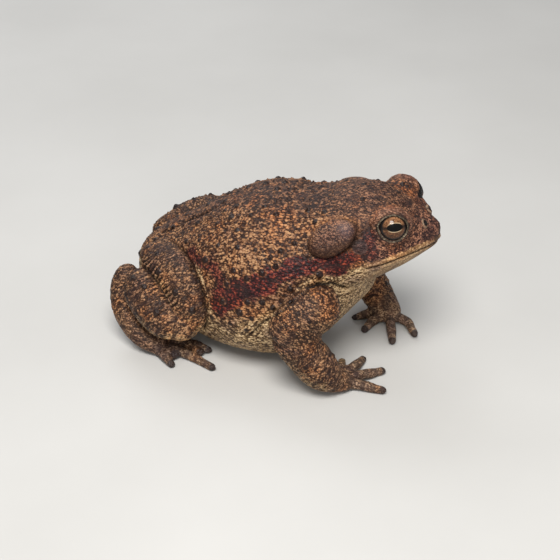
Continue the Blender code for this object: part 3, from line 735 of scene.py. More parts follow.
fold, fold_along = lines_distance(on_skin(SHOULDER_FOLD, (-1, 1)))
at_shoulder = on_trunk + on_arm + on_head
open_fold = at_shoulder * (0.75 + 0.25 * step_up(fold_along, 8.0, 20.0))
press(open_fold, fold, 1.4, 0.7, 1.0, 0.65)
spine, spine_along = lines_distance(on_skin(SPINE_FOLD, (1,)))
spine_part = (on_trunk + on_thigh) * step_up(spine_along, -2.0, 4.0)
spine_part *= 1 - step_up(spine_along, 34.0, 44.0)
press(spine_part, spine, 1.3, 1.2, 0.85, 0.8)
hind_dip = HIND_DIP * swell(points[:, 0] - HIND_DIP_MIDDLE, HIND_DIP_WIDTH)
height -= hind_dip * on_trunk * (1 - step_up(turn, 30, 60))
height -= on_trunk * np.interp(points[:, 0], *zip(*TOP_DIP)) * (1 - step_up(turn, 36, 64))
height -= LEFT_THIGH_DIP * on_thigh * on_left * step_up(points[:, 2], 37, 46)
beside_fold = at_shoulder * (1 - step_up(fold, 4.0, 8.0)) * (1 - swell(fold, 0.7))
beside_fold *= on_trunk + on_head + 0.4 * on_arm
pleat += beside_fold * streaks(fold, fold_along, 0.75, 8.0, 22)
for path in ARM_ARCS:
    arc, _ = path_distance(mirrored, path)
    press(on_arm + on_head, arc, 0.35, 0.45, 0.6, 0.35)
height += 0.24 * pleat
gland_line = np.minimum(between("body", "gland_right"), between("body", "gland_left"))
height += np.where(on_left, LEFT_GLAND_PUFF, RIGHT_GLAND_PUFF) * on_gland * step_up(gland_line, 0.3, 3.2)
gland_level = step_up(head[:, 2] + 0.3 * head[:, 0], 9.0, 15.0)
# Painted shade round the gland's edge, stronger low on the gland
press_seam(seam(on_gland, 1 - on_gland), 0.7, 0.95 - 0.6 * gland_level)
crevice, crevice_along = path_distance(head, CREVICE)
crevice_part = (1 - 0.6 * step_up(crevice_along, 8, 17)) * (on_head + on_gland)
press(crevice_part, crevice, 1.1, 0.9, 0.9, 1.5)
for one, other, strength in ((on_thigh, on_shank, past_knee),
                             (on_shank, belongs(number, "tarsus", "foot"), 1.0),
                             (on_thigh, on_trunk, 0.7 * step_up(points[:, 0], -54, -48))):
    press_seam(seam(one, other) * strength, 0.8, 0.9)

# %% Wrinkles across the thigh and the shank
GROOVE_AXIS = np.array((17.5, 14.5, -14.0)) / 26.7
wobble = hills(points, 6.0, 3)
groove_line = np.minimum(between("thigh_right", "shank_right"), between("thigh_left", "shank_left"))
down_leg = mirrored @ GROOVE_AXIS
leg_wave = np.sin((down_leg + 0.9 * wobble) * math.tau / 2.4)
beside_groove = step_up(groove_line, 0.4, 1.4) * (1 - step_up(groove_line, 3.5, 8.0)) * past_knee
leg_pleat = (on_thigh + 0.6 * on_shank) * beside_groove * leg_wave
height += 0.45 * leg_pleat
# Painted shade in the troughs between the wrinkles
crease_shade = np.maximum(crease_shade, 0.8 * step_up(-leg_pleat, 0.25, 0.85))

ARM_AXES = (("upper_arm", (-10.5, 9.0, -20.0)), ("forearm", (16.0, -9.0, -20.0)))
arm_wave = np.zeros(len(points))
for kind, axis in ARM_AXES:
    down_arm = mirrored @ (np.array(axis) / np.linalg.norm(axis))
    squeezed = np.stack((down_arm / 1.1, mirrored[:, 0] / 7, mirrored[:, 1] / 7), axis=1)
    arm_wave += belongs(number, kind) * hills(squeezed, 1.0, 24)
height += 0.20 * arm_wave

# %% [markdown]
# ## The face
# The mouth is a thin arched groove with a bead of lip above and below it. Round each eye the rim of the
# lids is a ring, a crease sets it off from the brow, and the brow itself overhangs a little. The tip of
# the snout and the throat are a little fuller than on the solids. Nostrils and eardrums are found by
# casting a ray from inside the head, as on the solids.

# %% Mouth, brows, nostrils and eardrums
MOUTH_LINE = ((10.0, -1.9), (15.8, -1.5), (23.3, -1.1), (30.0, -0.3), (34.6, -0.3), (39.1, -0.7),
              (44.2, -1.7), (46.0, -2.0))
MOUTH_CORNER = 15.2
SNOUT_TIP = (45.0, 1.0, 5.0)
THROAT = (51.0, 1.0, 46.0)
NOSTRIL_FROM = Vector((34.0, 3.0, 4.9))
NOSTRIL_TOWARD = Vector((6.4, 3.6, 4.9)).normalized()
EARDRUM_LEVEL = Vector((14.2, 0.0, 9.3))
EARDRUM_RADIUS = 3.4
CROWN_CREASE = ((21, 8.3, 23.8), (24.5, 7.8, 22.7), (27.8, 6.6, 21.2), (30.6, 5, 19.8), (33.3, 2.6, 18.2))

head_tree, _, _ = tree_of(["head"])


def cast_on_head(start, toward, side):
    """Where a ray from inside the head meets its surface, in the toad's frame."""
    origin = TOAD_TO_SCENE + from_head(on_side(side, start)) * MM
    hit = head_tree.ray_cast(origin, HEAD_TURN @ on_side(side, toward))[0]
    return np.array((hit - TOAD_TO_SCENE) / MM)


def beside_ray(start, toward, side):
    """For each point, how far beside a ray from inside the head it lies, and how far along it."""
    way = np.array(HEAD_TURN @ on_side(side, toward))
    offset = points - np.array(from_head(on_side(side, start)))
    along = offset @ way
    return np.linalg.norm(offset - along[:, None] * way, axis=1), along


above_mouth = head[:, 2] - np.interp(head[:, 0], *zip(*MOUTH_LINE))
mouth_part = on_head * step_up(head[:, 0], MOUTH_CORNER - 1.5, MOUTH_CORNER + 2)
height -= 1.0 * mouth_part * swell(above_mouth, 0.36)
height += 0.42 * mouth_part * swell(above_mouth - 1.4, 0.9)
height += 0.34 * mouth_part * swell(above_mouth + 1.1, 0.7)

upper = step_up(rise, -1.0, 3.0)
# Rings round the lids' rim: how high, on which lid, how far out and how wide
RIM_WAVES = ((-0.35, 1.0, 1.05, 0.42), (-0.20, upper, 1.05, 0.42), (0.45, upper, 2.4, 1.0),
             (-0.22, upper, 4.1, 0.5), (0.20, 1 - upper, 2.3, 0.8))
for rise_by, lids, out, width in RIM_WAVES:
    height += rise_by * on_head * lids * swell(rim - out, width)
lid_skin = on_head * step_up(rim, 1.4, 2.2) * (1 - step_up(rim, 4.5, 7.0))
lid_angle = np.degrees(np.arctan2(rise, np.abs(head[:, 0] - EYE.x)))
height += 0.12 * lid_skin * streaks(rim, lid_angle, 0.5, 22.0, 23)

height += 1.3 * on_head * swell(from_spot(head, SNOUT_TIP), 4.5)
height += 2.2 * (on_head + on_trunk) * swell(from_spot(points, THROAT), 7.5)
nostril = np.full(len(points), REACH)
eardrum = np.full(len(points), REACH)
for _, side in SIDES:
    beside, along = beside_ray(NOSTRIL_FROM, NOSTRIL_TOWARD, side)
    mouth_of_it = along > along[beside < 0.9].max() - 3.0
    nostril = np.minimum(nostril, np.where(mouth_of_it, beside, REACH))
    spot = cast_on_head(EARDRUM_LEVEL, Vector((0, 1, 0)), side)
    eardrum = np.minimum(eardrum, from_spot(points, spot))
height += on_head * (0.28 * swell(nostril - 1.6, 0.45) - 1.1 * swell(nostril, 0.8))
drum_part = on_head * (1 - step_up(eardrum, EARDRUM_RADIUS, EARDRUM_RADIUS + 0.5))
height += on_head * 0.22 * swell(eardrum - EARDRUM_RADIUS, 0.45)

crown_crease, _ = path_distance(head, CROWN_CREASE)
press(on_head, crown_crease, 0.40, 0.45, 0.6, 0.4)
height += on_head * 0.20 * swell(crown_crease - 1.1, 0.5)
lift(skin.data, height)

# %% [markdown]
# ## Warts
# The largest warts are domes on the solids. Each shows there as the only kind of point whose six
# neighbours make a regular hexagon, so they are found again and raised here as finer domes with a
# pointed tip. Four more stand on the head. Where the skin was lowered, a wart goes down with it. Between
# them stand hundreds of small tubercles, one to a cell of scattered seeds.

# %% Find the solids' warts
WART_SPOKES = (0.8, 1.8)
SPOKE_TO_RADIUS = 1 / 0.742
WART_HEIGHT = 0.42


def solid_warts():
    """Middle and radius of each wart of the solids, in mm."""
    found = []
    for name in PIECES:
        bm = bmesh.new()
        bm.from_mesh(nodes[name].data)
        bmesh.ops.remove_doubles(bm, verts=bm.verts, dist=1e-6)
        for vert in bm.verts:
            spokes = [edge.other_vert(vert).co - vert.co for edge in vert.link_edges]
            lengths = [spoke.length / MM for spoke in spokes]
            if len(spokes) != 6 or not WART_SPOKES[0] < min(lengths) <= max(lengths) < WART_SPOKES[1]:
                continue
            tip = -sum(spokes, Vector()).normalized()
            drops = [spoke.normalized().dot(tip) for spoke in spokes]
            if max(lengths) < 1.03 * min(lengths) and max(drops) - min(drops) < 0.03:
                radius = lengths[0] * SPOKE_TO_RADIUS
                top = np.array((vert.co - TOAD_TO_SCENE) / MM)
                found.append((top - np.array(tip) * WART_HEIGHT * radius, radius))
        bm.free()
    return found


warts = solid_warts()
print(len(warts), "large warts, the largest", round(2 * max(radius for _, radius in warts), 1), "mm wide")

# %% Raise them, and the tubercles
HEAD_WARTS = (((36.9, -6.2, 12.9), 1.3), ((-2.7, -16.0, 22.3), 1.8), ((28.9, 10.8, 21.6), 1.4),
              ((31.0, 10.2, 20.8), 1.2))
WART_REACH = 1.4
WART_RISE = 0.38
WART_MOST_SUNK = 0.5
warts += [(np.array(from_head(Vector(place))), radius) for place, radius in HEAD_WARTS]
points = read_points(skin.data)
seeds = KDTree(len(points))
for i, place in enumerate(points):
    seeds.insert(place, i)
seeds.balance()

wart = np.zeros(len(points))
wart_foot = np.zeros(len(points))
height = np.zeros(len(points))
for centre, radius in warts:
    on_surface, _, sunk = seeds.find(centre)
    centre = on_surface if sunk > WART_MOST_SUNK * radius else centre
    for _, i, away_from in seeds.find_range(centre, WART_REACH * radius):
        share = away_from / radius
        dome = max(0.0, 1 - share * share) ** 0.8 + 0.35 * math.exp(-((share / 0.3) ** 2))
        height[i] = max(height[i], WART_RISE * radius * dome)
        wart[i] = max(wart[i], min(1.0, 3.2 * (1 - share)))
        wart_foot[i] = max(wart_foot[i], math.exp(-((share - 1.18) / 0.16) ** 2))

knobbly = on_trunk + on_thigh + on_shank + on_arm + 0.5 * belongs(number, "tarsus")
knobbly *= 1 - step_up(turn, 95, 115) * on_trunk
knobbly *= 1 - 0.4 * on_arm
nearest, _, chance = granules(points, 2.7, 5)
reach = 0.12 + 0.20 * chance
tubercle = np.clip(1 - (nearest / reach) ** 2, 0, 1) * knobbly
height = np.maximum(height, 0.90 * tubercle * (0.5 + 0.5 * chance))
wart = np.maximum(wart, tubercle * step_up(chance, 0.62, 0.8) * 0.7)
head_knobs, _, _ = granules(points, 3.6, 8)
head_tubercle = np.clip(1 - (head_knobs / 0.2) ** 2, 0, 1) * on_head * (1 - step_up(head[:, 0], 24, 34))
head_tubercle *= step_up(head[:, 2], 16, 20)
height += 0.3 * head_tubercle
wart = np.maximum(wart, 0.7 * head_tubercle)
lift(skin.data, height)

# %% [markdown]
# ## Granules
# Between the warts the whole skin is set with granules about a millimetre wide, with darker grooves
# between them. They lie along the trunk and across the limbs, so they are scattered in a weave of places
# that is squeezed that way, and the material's cells use the same weave. They are coarse on the back and
# the legs, fine on the belly and the crown, and almost gone on the gland, the lids and the digits.

# %% Raise the granules
points = read_points(skin.data)
weave = points * (0.72, 1.08, 1.08)
# The left limbs take their granules from far beside the right ones, so that they aren't mirror images
LEFT_WEAVE = 300
AXES = ARM_AXES + tuple((kind, GROOVE_AXIS) for kind in ("thigh", "shank", "tarsus"))
for kind, axis in AXES:
    axis = np.array(axis) / np.linalg.norm(axis)
    across = 0.95 * mirrored + 0.55 * (mirrored @ axis)[:, None] * axis
    across += np.where(points[:, 1:2] > 0, LEFT_WEAVE, 0)
    weave = np.where(belongs(number, kind)[:, None] > 0, across, weave)
_, groove, pick = granules(weave, 1.2, 11)
_, fine_groove, fine_pick = granules(weave, 0.75, 17)
coarse = step_up(groove, 0.02, 0.42) * (0.45 + 0.55 * pick)
fine = step_up(fine_groove, 0.02, 0.45) * (0.45 + 0.55 * fine_pick)

crown = on_head * step_up(head[:, 2], 13, 18)
cheek = on_head * (1 - crown)
relief = 0.36 * on_trunk + 0.33 * (on_leg - on_foot) + 0.06 * on_foot + 0.20 * crown + 0.17 * cheek
belly = step_up(turn, 98, 118) * on_trunk
relief *= 1 - 0.45 * belly
relief = soften(relief + 0.05 * on_gland, 40)
relief *= 1 - on_head * (1 - step_up(rim, 0.8, 1.6))
chin = on_head * (1 - step_up(above_mouth, -0.6, 0.2)) * step_up(head[:, 0], 12, 20)
relief *= 1 - np.maximum(mouth_part * swell(above_mouth - 0.6, 2.2), 0.85 * chin)
relief *= 1 - 0.8 * drum_part
lift(skin.data, 1.15 * relief * (0.75 * coarse + 0.35 * fine - 0.4) * (1 - 0.6 * np.clip(wart, 0, 1)))
points = read_points(skin.data)
points[:, 2] = np.maximum(points[:, 2], 0)
write_points(skin.data, points)

# %% [markdown]
# ## Markings
# A toad's colours follow its anatomy: a dark back, a maroon band from behind the eye along the flank,
# a cream belly with dark specks, dark blotches across the thighs and shanks, ringed digits with dark
# tips. Each marking is a mask from 0 to 1, kept on the skin as a named attribute, and the material
# below decides what colour it has. Some masks paint light and shade instead: shade in the creases, the
# nostrils, behind the eye and low on the gland, a highlight on the gland, and a lighter far arm and knees.

# %% Masks of the trunk and the head
# The maroon band's edges and where the belly begins: X, degrees from straight up
BAND_TOP = ((-24, 84), (-20, 82), (-16, 77), (-9.5, 71), (-2, 65), (5, 59.5), (12, 54), (17, 51), (22, 49),
            (28, 49), (35, 46), (40, 43), (46, 38))
BAND_FOOT = ((-24, 101), (-20, 101), (-14, 99), (-9, 90.5), (-2, 83), (3, 79.5), (8.5, 74), (14, 68.5),
             (18, 66), (22, 62), (26, 60), (30, 62), (35, 61), (39, 57), (43, 52), (48, 46))
BELLY_EDGE = ((-60, 104), (-30, 104), (-10, 102), (5, 92), (20, 74), (30, 64), (45, 56))
RUMP_PATCH = ((-49, 23, 53), (-38, 26.5, 54), (-30, 31, 55), (-22, 34.5, 55), (-18, 37, 50.5))

LID_DOME_MIDDLE = (27.3, 15.7, 14.4)
LID_DOME_SIZE = (9.3, 9.2, 8.7)
GLAND_LEVEL = 71.0
# Middle of the gland's painted highlight, in the head's frame
GLAND_HIGHLIGHT_SPOT = (8.0, 25.8, 18.4)
MOUTH_END = (14.5, 28.0, 0.6)
# Painted shade behind the eye, where the groove between gland and eardrum ends
SHADE_BEHIND_EYE = (17.5, 21.3, 15.4)
# The dark front corner of the left eye, as the photo shows it over the brow
LEFT_CORNER = ((35.3, 16.5, 18.0), (36.1, 15.0, 16.1), (36.4, 13.0, 15.0), (36.6, 11.5, 14.9))

marks = {}
ragged = 3.0 * hills(points * (0.5, 1, 1), 4.0, 31) + 3.0 * hills(points * (0.5, 1, 1), 1.5, 32)
band_top = np.interp(points[:, 0], *zip(*BAND_TOP))
band_foot = np.interp(points[:, 0], *zip(*BAND_FOOT))
in_band = step_up(turn + ragged, band_top - 1.5, band_top + 2)
in_band *= 1 - step_up(turn + ragged, band_foot - 2, band_foot + 2)
in_band *= step_up(points[:, 0] + ragged, -25, -19)
in_band *= on_trunk + on_head * (1 - step_up(head[:, 0], 8, 12))
rump, _ = path_distance(mirrored, RUMP_PATCH)
rump_mark = (1 - step_up(rump + 0.5 * ragged, 2.0, 5.5)) * on_trunk
forward, level = head[:, 0] + ragged * 0.4, head[:, 2] + ragged * 0.3
behind_eye = step_up(forward, 8.5, 11) * (1 - step_up(forward, 20, 22.5))
behind_eye *= step_up(level, 1.5, 4.0) * (1 - step_up(level, 14.5, 17.5))
behind_eye *= on_head * step_up(head[:, 1], 16, 19)
marks["red"] = np.clip(in_band + 0.9 * rump_mark + 0.85 * behind_eye, 0, 1)

under = np.interp(points[:, 0], *zip(*BELLY_EDGE))
marks["pale"] = (1 - on_leg) * np.clip(
    on_trunk * step_up(turn + ragged, under - 4, under + 8)
    + on_head * (1 - step_up(head[:, 2] + 0.4 * ragged, -1.5, 0.5)), 0, 1)
marks["dorsal"] = (on_trunk + on_head) * (1 - step_up(turn + 1.5 * ragged, 16, 34))
marks["crown"] = soften(crown, 60) * step_up(head[:, 0] + 0.8 * ragged, -2, 12)
marks["cheek"] = cheek * step_up(head[:, 0] + 0.4 * ragged, 14, 22)
marks["brow"] = on_head * upper * swell(rim - 2.3, 1.1)
dome = np.linalg.norm((head - LID_DOME_MIDDLE) / LID_DOME_SIZE, axis=1)
marks["dome"] = on_head * (1 - step_up(dome + 0.03 * ragged, 1.02, 1.25))
marks["dome"] *= step_up(head[:, 2], 16, 19) * step_up(rim, 3.0, 4.5)
lip_edge = 2.7 + 0.22 * ragged
marks["lip"] = mouth_part * step_up(above_mouth, 0.0, 0.4)
marks["lip"] *= 1 - step_up(above_mouth, lip_edge - 0.5, lip_edge + 0.4)
marks["chin"] = chin
marks["lid"] = on_head * (1 - step_up(np.abs(rim), 0.26, 0.54))
corner, _ = path_distance(head, LEFT_CORNER)
marks["corner"] = on_head * on_left * (1 - step_up(corner, 1.5, 2.1))
marks["lid_inside"] = on_head * (1 - step_up(rim, -0.75, -0.45))
marks["drum"] = soften(drum_part, 6)
marks["drum_ring"] = on_head * swell(eardrum - EARDRUM_RADIUS, 0.40) * (1 - step_up(head[:, 2], 7.0, 11.0))
# Painted highlight on the upper front of the gland
marks["gland_painted_highlight"] = on_gland * swell(from_spot(head, GLAND_HIGHLIGHT_SPOT), 3.6)
marks["gland"] = on_gland
facing = read_normals(skin.data)
# Painted shade: the gland is darker where its skin faces down
marks["gland_painted_shade"] = soften(on_gland * (1 - step_up(facing[:, 2], -0.1, 0.85)), 10)
marks["gland_rim"] = (on_trunk + on_head) * swell(gland_line - 1.4 - 0.1 * ragged, 1.0) * step_up(
    points[:, 2] + 0.25 * (points[:, 0] - 30), GLAND_LEVEL, GLAND_LEVEL + 4)
marks["wart"] = step_up(wart, 0.10, 0.70)
marks["wart_foot"] = wart_foot * (on_trunk + 0.5 * on_head)
# Painted shade in the creases, in the mouth's groove and at its corners, and just outside the lids' rim
marks["crease_shade"] = np.maximum.reduce([
    crease_shade, 0.95 * mouth_part * swell(above_mouth, 0.38), 0.75 * on_head * swell(rim - 0.9, 0.30),
    0.95 * on_head * swell(from_spot(head, MOUTH_END), 0.85)])
# Painted shade: the nostrils' openings are painted nearly black
marks["nostril"] = on_head * (1 - step_up(nostril, 1.15, 1.5))
marks["nostril_rim"] = on_head * swell(nostril - 1.9, 0.36) * step_up(hills(points, 1.3, 35), -0.9, 0.0)
above_fold = open_fold * swell(fold - 2.6, 1.6) * (on_trunk + on_head)
above_fold *= 0.55 + 0.6 * step_up(pleat, -0.3, 0.3)
marks["cream"] = np.clip(above_fold + 0.8 * beside_thigh * step_up(pleat, 0.0, 0.5), 0, 1)
marks["leg"] = soften(on_leg, 12)
marks["speck"] = (0.9 * marks["pale"] + 0.45 * on_leg + 0.5 * marks["lip"] + 0.5 * on_head
                  + 0.3 * on_trunk)

# %% Masks of the limbs and the digits
FINGERS = (
    ((36.7, -27.5), (36.0, -20.0), (35.0, -13.0)), ((40.0, -27.0), (43.0, -16.5), (44.6, -8.0)),
    ((43.0, -28.5), (50.9, -21.8), (57.0, -15.0)), ((42.5, -33.5), (53.0, -32.5), (62.0, -32.0)),
    ((43.0, 32.0), (36.0, 29.0), (28.5, 25.0)), ((44.5, 30.0), (40.0, 23.0), (37.5, 14.0)),
    ((48.0, 28.0), (51.5, 17.5), (54.5, 8.0)), ((49.0, 31.0), (57.5, 27.5), (64.0, 18.0)))
TOES = (
    ((-50.0, -27.0), (-39.0, -26.5), (-30.5, -29.5)), ((-48.0, -26.0), (-36.5, -24.0), (-27.5, -25.5)),
    ((-49.0, -31.0), (-34.5, -34.0), (-20.5, -39.5)), ((-53.0, -34.0), (-45.5, -39.5), (-40.5, -43.5)),
    ((-51.0, -33.0), (-45.5, -35.5), (-41.5, -36.0)), ((-52.0, 38.5), (-42.5, 35.5), (-35.0, 35.0)),
    ((-51.5, 39.0), (-38.0, 38.5), (-28.0, 38.0)), ((-51.0, 43.0), (-36.0, 45.0), (-21.0, 48.0)),
    ((-54.0, 46.0), (-43.5, 51.0), (-34.5, 56.0)), ((-57.0, 47.0), (-50.0, 52.5), (-44.0, 57.0)))
TIP_LENGTH = 3.0
SEGMENT = 5.2

toe_tip = np.zeros(len(points))
toe_band = np.zeros(len(points))
rooted = np.zeros(len(points))
nearest_digit = np.full(len(points), 3.2)
flat = points[:, :2]
for path in FINGERS + TOES:
    length = sum(math.dist(a, b) for a, b in zip(path, path[1:]))
    sideways, along = path_distance(flat, path)
    mine = (sideways < nearest_digit) & (on_foot > 0)
    nearest_digit = np.where(mine, sideways, nearest_digit)
    to_tip = length - along
    rooted = np.where(mine, step_up(along, -1.0, 5.0), rooted)
    toe_tip = np.where(mine, 1 - step_up(to_tip, TIP_LENGTH - 0.6, TIP_LENGTH + 0.6), toe_tip)
    toe_band = np.where(mine, step_up(np.cos((to_tip - 1.2) * math.tau / SEGMENT), -0.2, 0.7), toe_band)
nub, nub_along = path_distance(flat, FINGERS[0])
nub = (on_foot > 0) * (1 - step_up(nub, 1.8, 2.8)) * step_up(nub_along, 5, 9)
marks["cream"] = np.maximum(marks["cream"], nub)
toe_tip *= 1 - nub
marks["tip"] = toe_tip
marks["band"] = toe_band * (1 - toe_tip)
marks["digit"] = soften(on_foot * (0.35 + 0.65 * rooted), 20)
grain = 0.45 * on_head + 0.5 * chin + 0.75 * on_gland + on_foot * (0.4 + 0.4 * rooted)
marks["grain"] = soften(np.clip(grain, 0, 1), 20)
below = on_leg - on_foot - 0.7 * belongs(number, "upper_arm")
below *= step_up(-facing[:, 2] + 0.08 * ragged, 0.05, 0.55)
arm_to_body = np.minimum(between("body", "arm_right"), between("body", "arm_left"))
rear_of_arm = on_arm * (1 - step_up(arm_to_body + 0.5 * ragged, 2.5, 6.8))
rear_of_arm *= 1 - step_up(points[:, 2], 42, 48)
marks["underside"] = np.maximum(below, rear_of_arm)
blotches = hills(points, 5.5, 41) + 0.5 * hills(points, 2.2, 42)
rows = np.sin((down_leg + 0.8 * wobble) * math.tau / 4.6)
blotches += 0.7 * rows * (on_shank + 0.4 * on_thigh + 0.4 * on_arm)
on_ankle = belongs(number, "tarsus")
mottle = step_up(hills(weave, 3.4, 61) + 0.6 * hills(weave, 1.5, 62), 0.10, 0.60)
mottled = (0.75 * in_band + 0.9 * behind_eye + 0.55 * marks["crown"] + 0.55 * marks["cheek"]
           + 0.4 * marks["dorsal"] + 0.15 * on_trunk + 0.6 * belongs(number, "forearm") + 0.5 * on_ankle
           + 0.4 * on_foot)
# Dark blotches and mottling, and one spot of painted shade behind the eye
marks["blotch_and_shade"] = np.maximum.reduce([
    (on_thigh + on_shank + 0.6 * on_arm) * step_up(blotches, 0.15, 0.75), mottled * mottle,
    on_head * swell(from_spot(head, SHADE_BEHIND_EYE), 2.6)])
# Painted light: the left arm and hand and the thighs and shanks round the knees are made lighter
left_arm_painted_light = (on_arm + on_foot) * on_left * (points[:, 0] > 0)
knee_painted_light = (on_thigh + on_shank) * (1 - step_up(from_knee, 9.5, 15.0))
# The tone is lower in the grooves between granules and in the troughs of pleats and wrinkles: partly the
# skin's own colour, partly painted shade
marks["tone"] = (0.62 * coarse + 0.38 * fine + 0.10 * hills(points, 9.0, 51) + 0.45 * pleat
                 + 0.8 * leg_pleat + 0.35 * arm_wave + 0.22 * left_arm_painted_light + 0.20 * knee_painted_light)
places = skin.data.attributes.new("weave", "FLOAT_VECTOR", "POINT")
places.data.foreach_set("vector", weave.astype(np.float32).ravel())
for name, mask in marks.items():
    layer = skin.data.attributes.new(name, "FLOAT", "POINT")
    layer.data.foreach_set("value", np.clip(mask, 0, 1).astype(np.float32))
print("markings:", ", ".join(sorted(marks)))

# %% [markdown]
# ## Finish of the skin
# One material paints the whole skin. Each region has its own run of colours from groove to granule
# tip, read by the tone mask, and the masks say how much of each region shows. A finer noise breaks up
# the tone between the mesh's points. Smooth, moist places get a lower roughness than the dry back.

# %% Helpers for node trees
def new_material(name):
    material = bpy.data.materials.new(name)
    material.use_nodes = True
    return material, material.node_tree, material.node_tree.nodes["Principled BSDF"]


def attribute(tree, name):
    node = tree.nodes.new("ShaderNodeAttribute")
    node.attribute_name = name
    return node.outputs["Fac"]


def calculate(tree, operation, *values):
    """A math node on sockets or numbers."""
    node = tree.nodes.new("ShaderNodeMath")
    node.operation = operation
    for socket, value in zip(node.inputs, values):
        if isinstance(value, (int, float)):
            socket.default_value = value
        else:
            tree.links.new(value, socket)
    return node.outputs[0]


def colour_run(tree, value, stops):
    """A colour ramp; each stop is a place and a linear colour."""
    node = tree.nodes.new("ShaderNodeValToRGB")
    elements = node.color_ramp.elements
    while len(elements) < len(stops):
        elements.new(0.5)
    for element, (place, colour) in zip(elements, stops):
        element.position = place
        element.color = (*colour, 1.0)
    tree.links.new(value, node.inputs["Fac"])
    return node.outputs["Color"]


def over(tree, under, top, share):
    """The top colour laid over another by a share."""
    node = tree.nodes.new("ShaderNodeMix")
    node.data_type = "RGBA"
    tree.links.new(share, node.inputs["Factor"])
    for socket, value in ((node.inputs[6], under), (node.inputs[7], top)):
        if isinstance(value, tuple):
            socket.default_value = (*value, 1.0)
        else:
            tree.links.new(value, socket)
    return node.outputs[2]


def place_of(tree):
    """The spot on the piece, in metres."""
    return tree.nodes.new("ShaderNodeTexCoord").outputs["Object"]


def noise(tree, scale, detail=3.0):
    """A noise over the piece, with scale in features per metre."""
    node = tree.nodes.new("ShaderNodeTexNoise")
    node.inputs["Scale"].default_value = scale
    node.inputs["Detail"].default_value = detail
    tree.links.new(place_of(tree), node.inputs["Vector"])
    return node.outputs[0]


def weave_of(tree):
    """The spot in the granules' weave, in millimetres."""
    node = tree.nodes.new("ShaderNodeAttribute")
    node.attribute_name = "weave"
    return node.outputs["Vector"]


def cells(tree, scale):
    """Cells over the skin, scale to a millimetre: the way to a cell's middle, and its random number."""
    node = tree.nodes.new("ShaderNodeTexVoronoi")
    node.inputs["Scale"].default_value = scale
    tree.links.new(weave_of(tree), node.inputs["Vector"])
    split = tree.nodes.new("ShaderNodeSeparateColor")
    tree.links.new(node.outputs["Color"], split.inputs["Color"])
    return node.outputs["Distance"], split.outputs[0]


def blend(tree, one, two, share):
    """From one number to another by a share."""
    return calculate(tree, "MULTIPLY_ADD", calculate(tree, "SUBTRACT", two, one), share, one)


def stretch(tree, value, low, high, start=0.0, end=1.0):
    """The value from low to high becomes start to end, and stays there beyond."""
    node = tree.nodes.new("ShaderNodeMapRange")
    for name, number in (("From Min", low), ("From Max", high), ("To Min", start), ("To Max", end)):
        node.inputs[name].default_value = number
    tree.links.new(value, node.inputs["Value"])
    return node.outputs["Result"]


def tinted(tree, colour, tint, share):
    """The colour multiplied by a tint, by a share or all of it."""
    node = tree.nodes.new("ShaderNodeMix")
    node.data_type = "RGBA"
    node.blend_type = "MULTIPLY"
    node.clamp_factor = True
    node.inputs["Factor"].default_value = 1.0
    if share is not None:
        tree.links.new(share, node.inputs["Factor"])
    tree.links.new(colour, node.inputs[6])
    node.inputs[7].default_value = (*tint, 1.0)
    return node.outputs[2]


# %% The skin's colours, from groove to granule tip
# Each run holds tones from 0 to 1 with their colours, and each layer its mask, colour and strength
BACK = ((0.12, (0.022, 0.009, 0.005)), (0.36, (0.098, 0.043, 0.020)), (0.60, (0.255, 0.130, 0.064)),
        (0.92, (0.46, 0.275, 0.15)))
DORSAL = ((0.12, (0.018, 0.009, 0.007)), (0.36, (0.062, 0.030, 0.019)), (0.60, (0.135, 0.066, 0.038)),
          (0.92, (0.34, 0.18, 0.10)))
RED = ((0.12, (0.010, 0.003, 0.004)), (0.42, (0.046, 0.008, 0.009)), (0.70, (0.130, 0.021, 0.018)),
       (1.0, (0.30, 0.078, 0.042)))
PALE = ((0.05, (0.050, 0.027, 0.013)), (0.28, (0.21, 0.135, 0.068)), (0.52, (0.42, 0.30, 0.165)),
        (0.90, (0.74, 0.58, 0.37)))
LEG = ((0.12, (0.022, 0.011, 0.007)), (0.36, (0.080, 0.040, 0.023)), (0.60, (0.17, 0.088, 0.049)),
       (0.92, (0.42, 0.25, 0.14)))
GLAND = ((0.10, (0.028, 0.011, 0.007)), (0.45, (0.120, 0.054, 0.029)), (0.90, (0.36, 0.20, 0.12)))
CROWN = ((0.10, (0.018, 0.009, 0.008)), (0.50, (0.135, 0.064, 0.039)), (0.92, (0.34, 0.185, 0.110)))
CHEEK = ((0.10, (0.020, 0.008, 0.008)), (0.50, (0.155, 0.070, 0.047)), (0.92, (0.42, 0.22, 0.14)))
LIP = ((0.10, (0.16, 0.085, 0.038)), (0.50, (0.36, 0.22, 0.105)), (0.92, (0.58, 0.42, 0.24)))
CHIN = ((0.10, (0.21, 0.135, 0.075)), (0.50, (0.34, 0.235, 0.135)), (0.92, (0.50, 0.38, 0.235)))
DIGIT = ((0.10, (0.055, 0.031, 0.020)), (0.50, (0.20, 0.122, 0.078)), (0.92, (0.48, 0.35, 0.24)))
RIM = ((0.10, (0.090, 0.036, 0.016)), (0.50, (0.25, 0.115, 0.050)), (0.92, (0.52, 0.28, 0.14)))
DOME = ((0.10, (0.028, 0.014, 0.012)), (0.35, (0.10, 0.042, 0.024)), (0.55, (0.26, 0.105, 0.045)),
        (0.92, (0.42, 0.21, 0.11)))
DRUM = ((0.10, (0.014, 0.007, 0.008)), (0.50, (0.038, 0.021, 0.021)), (0.92, (0.10, 0.062, 0.058)))
BROW = ((0.10, (0.10, 0.042, 0.024)), (0.50, (0.26, 0.125, 0.080)), (0.92, (0.48, 0.29, 0.21)))
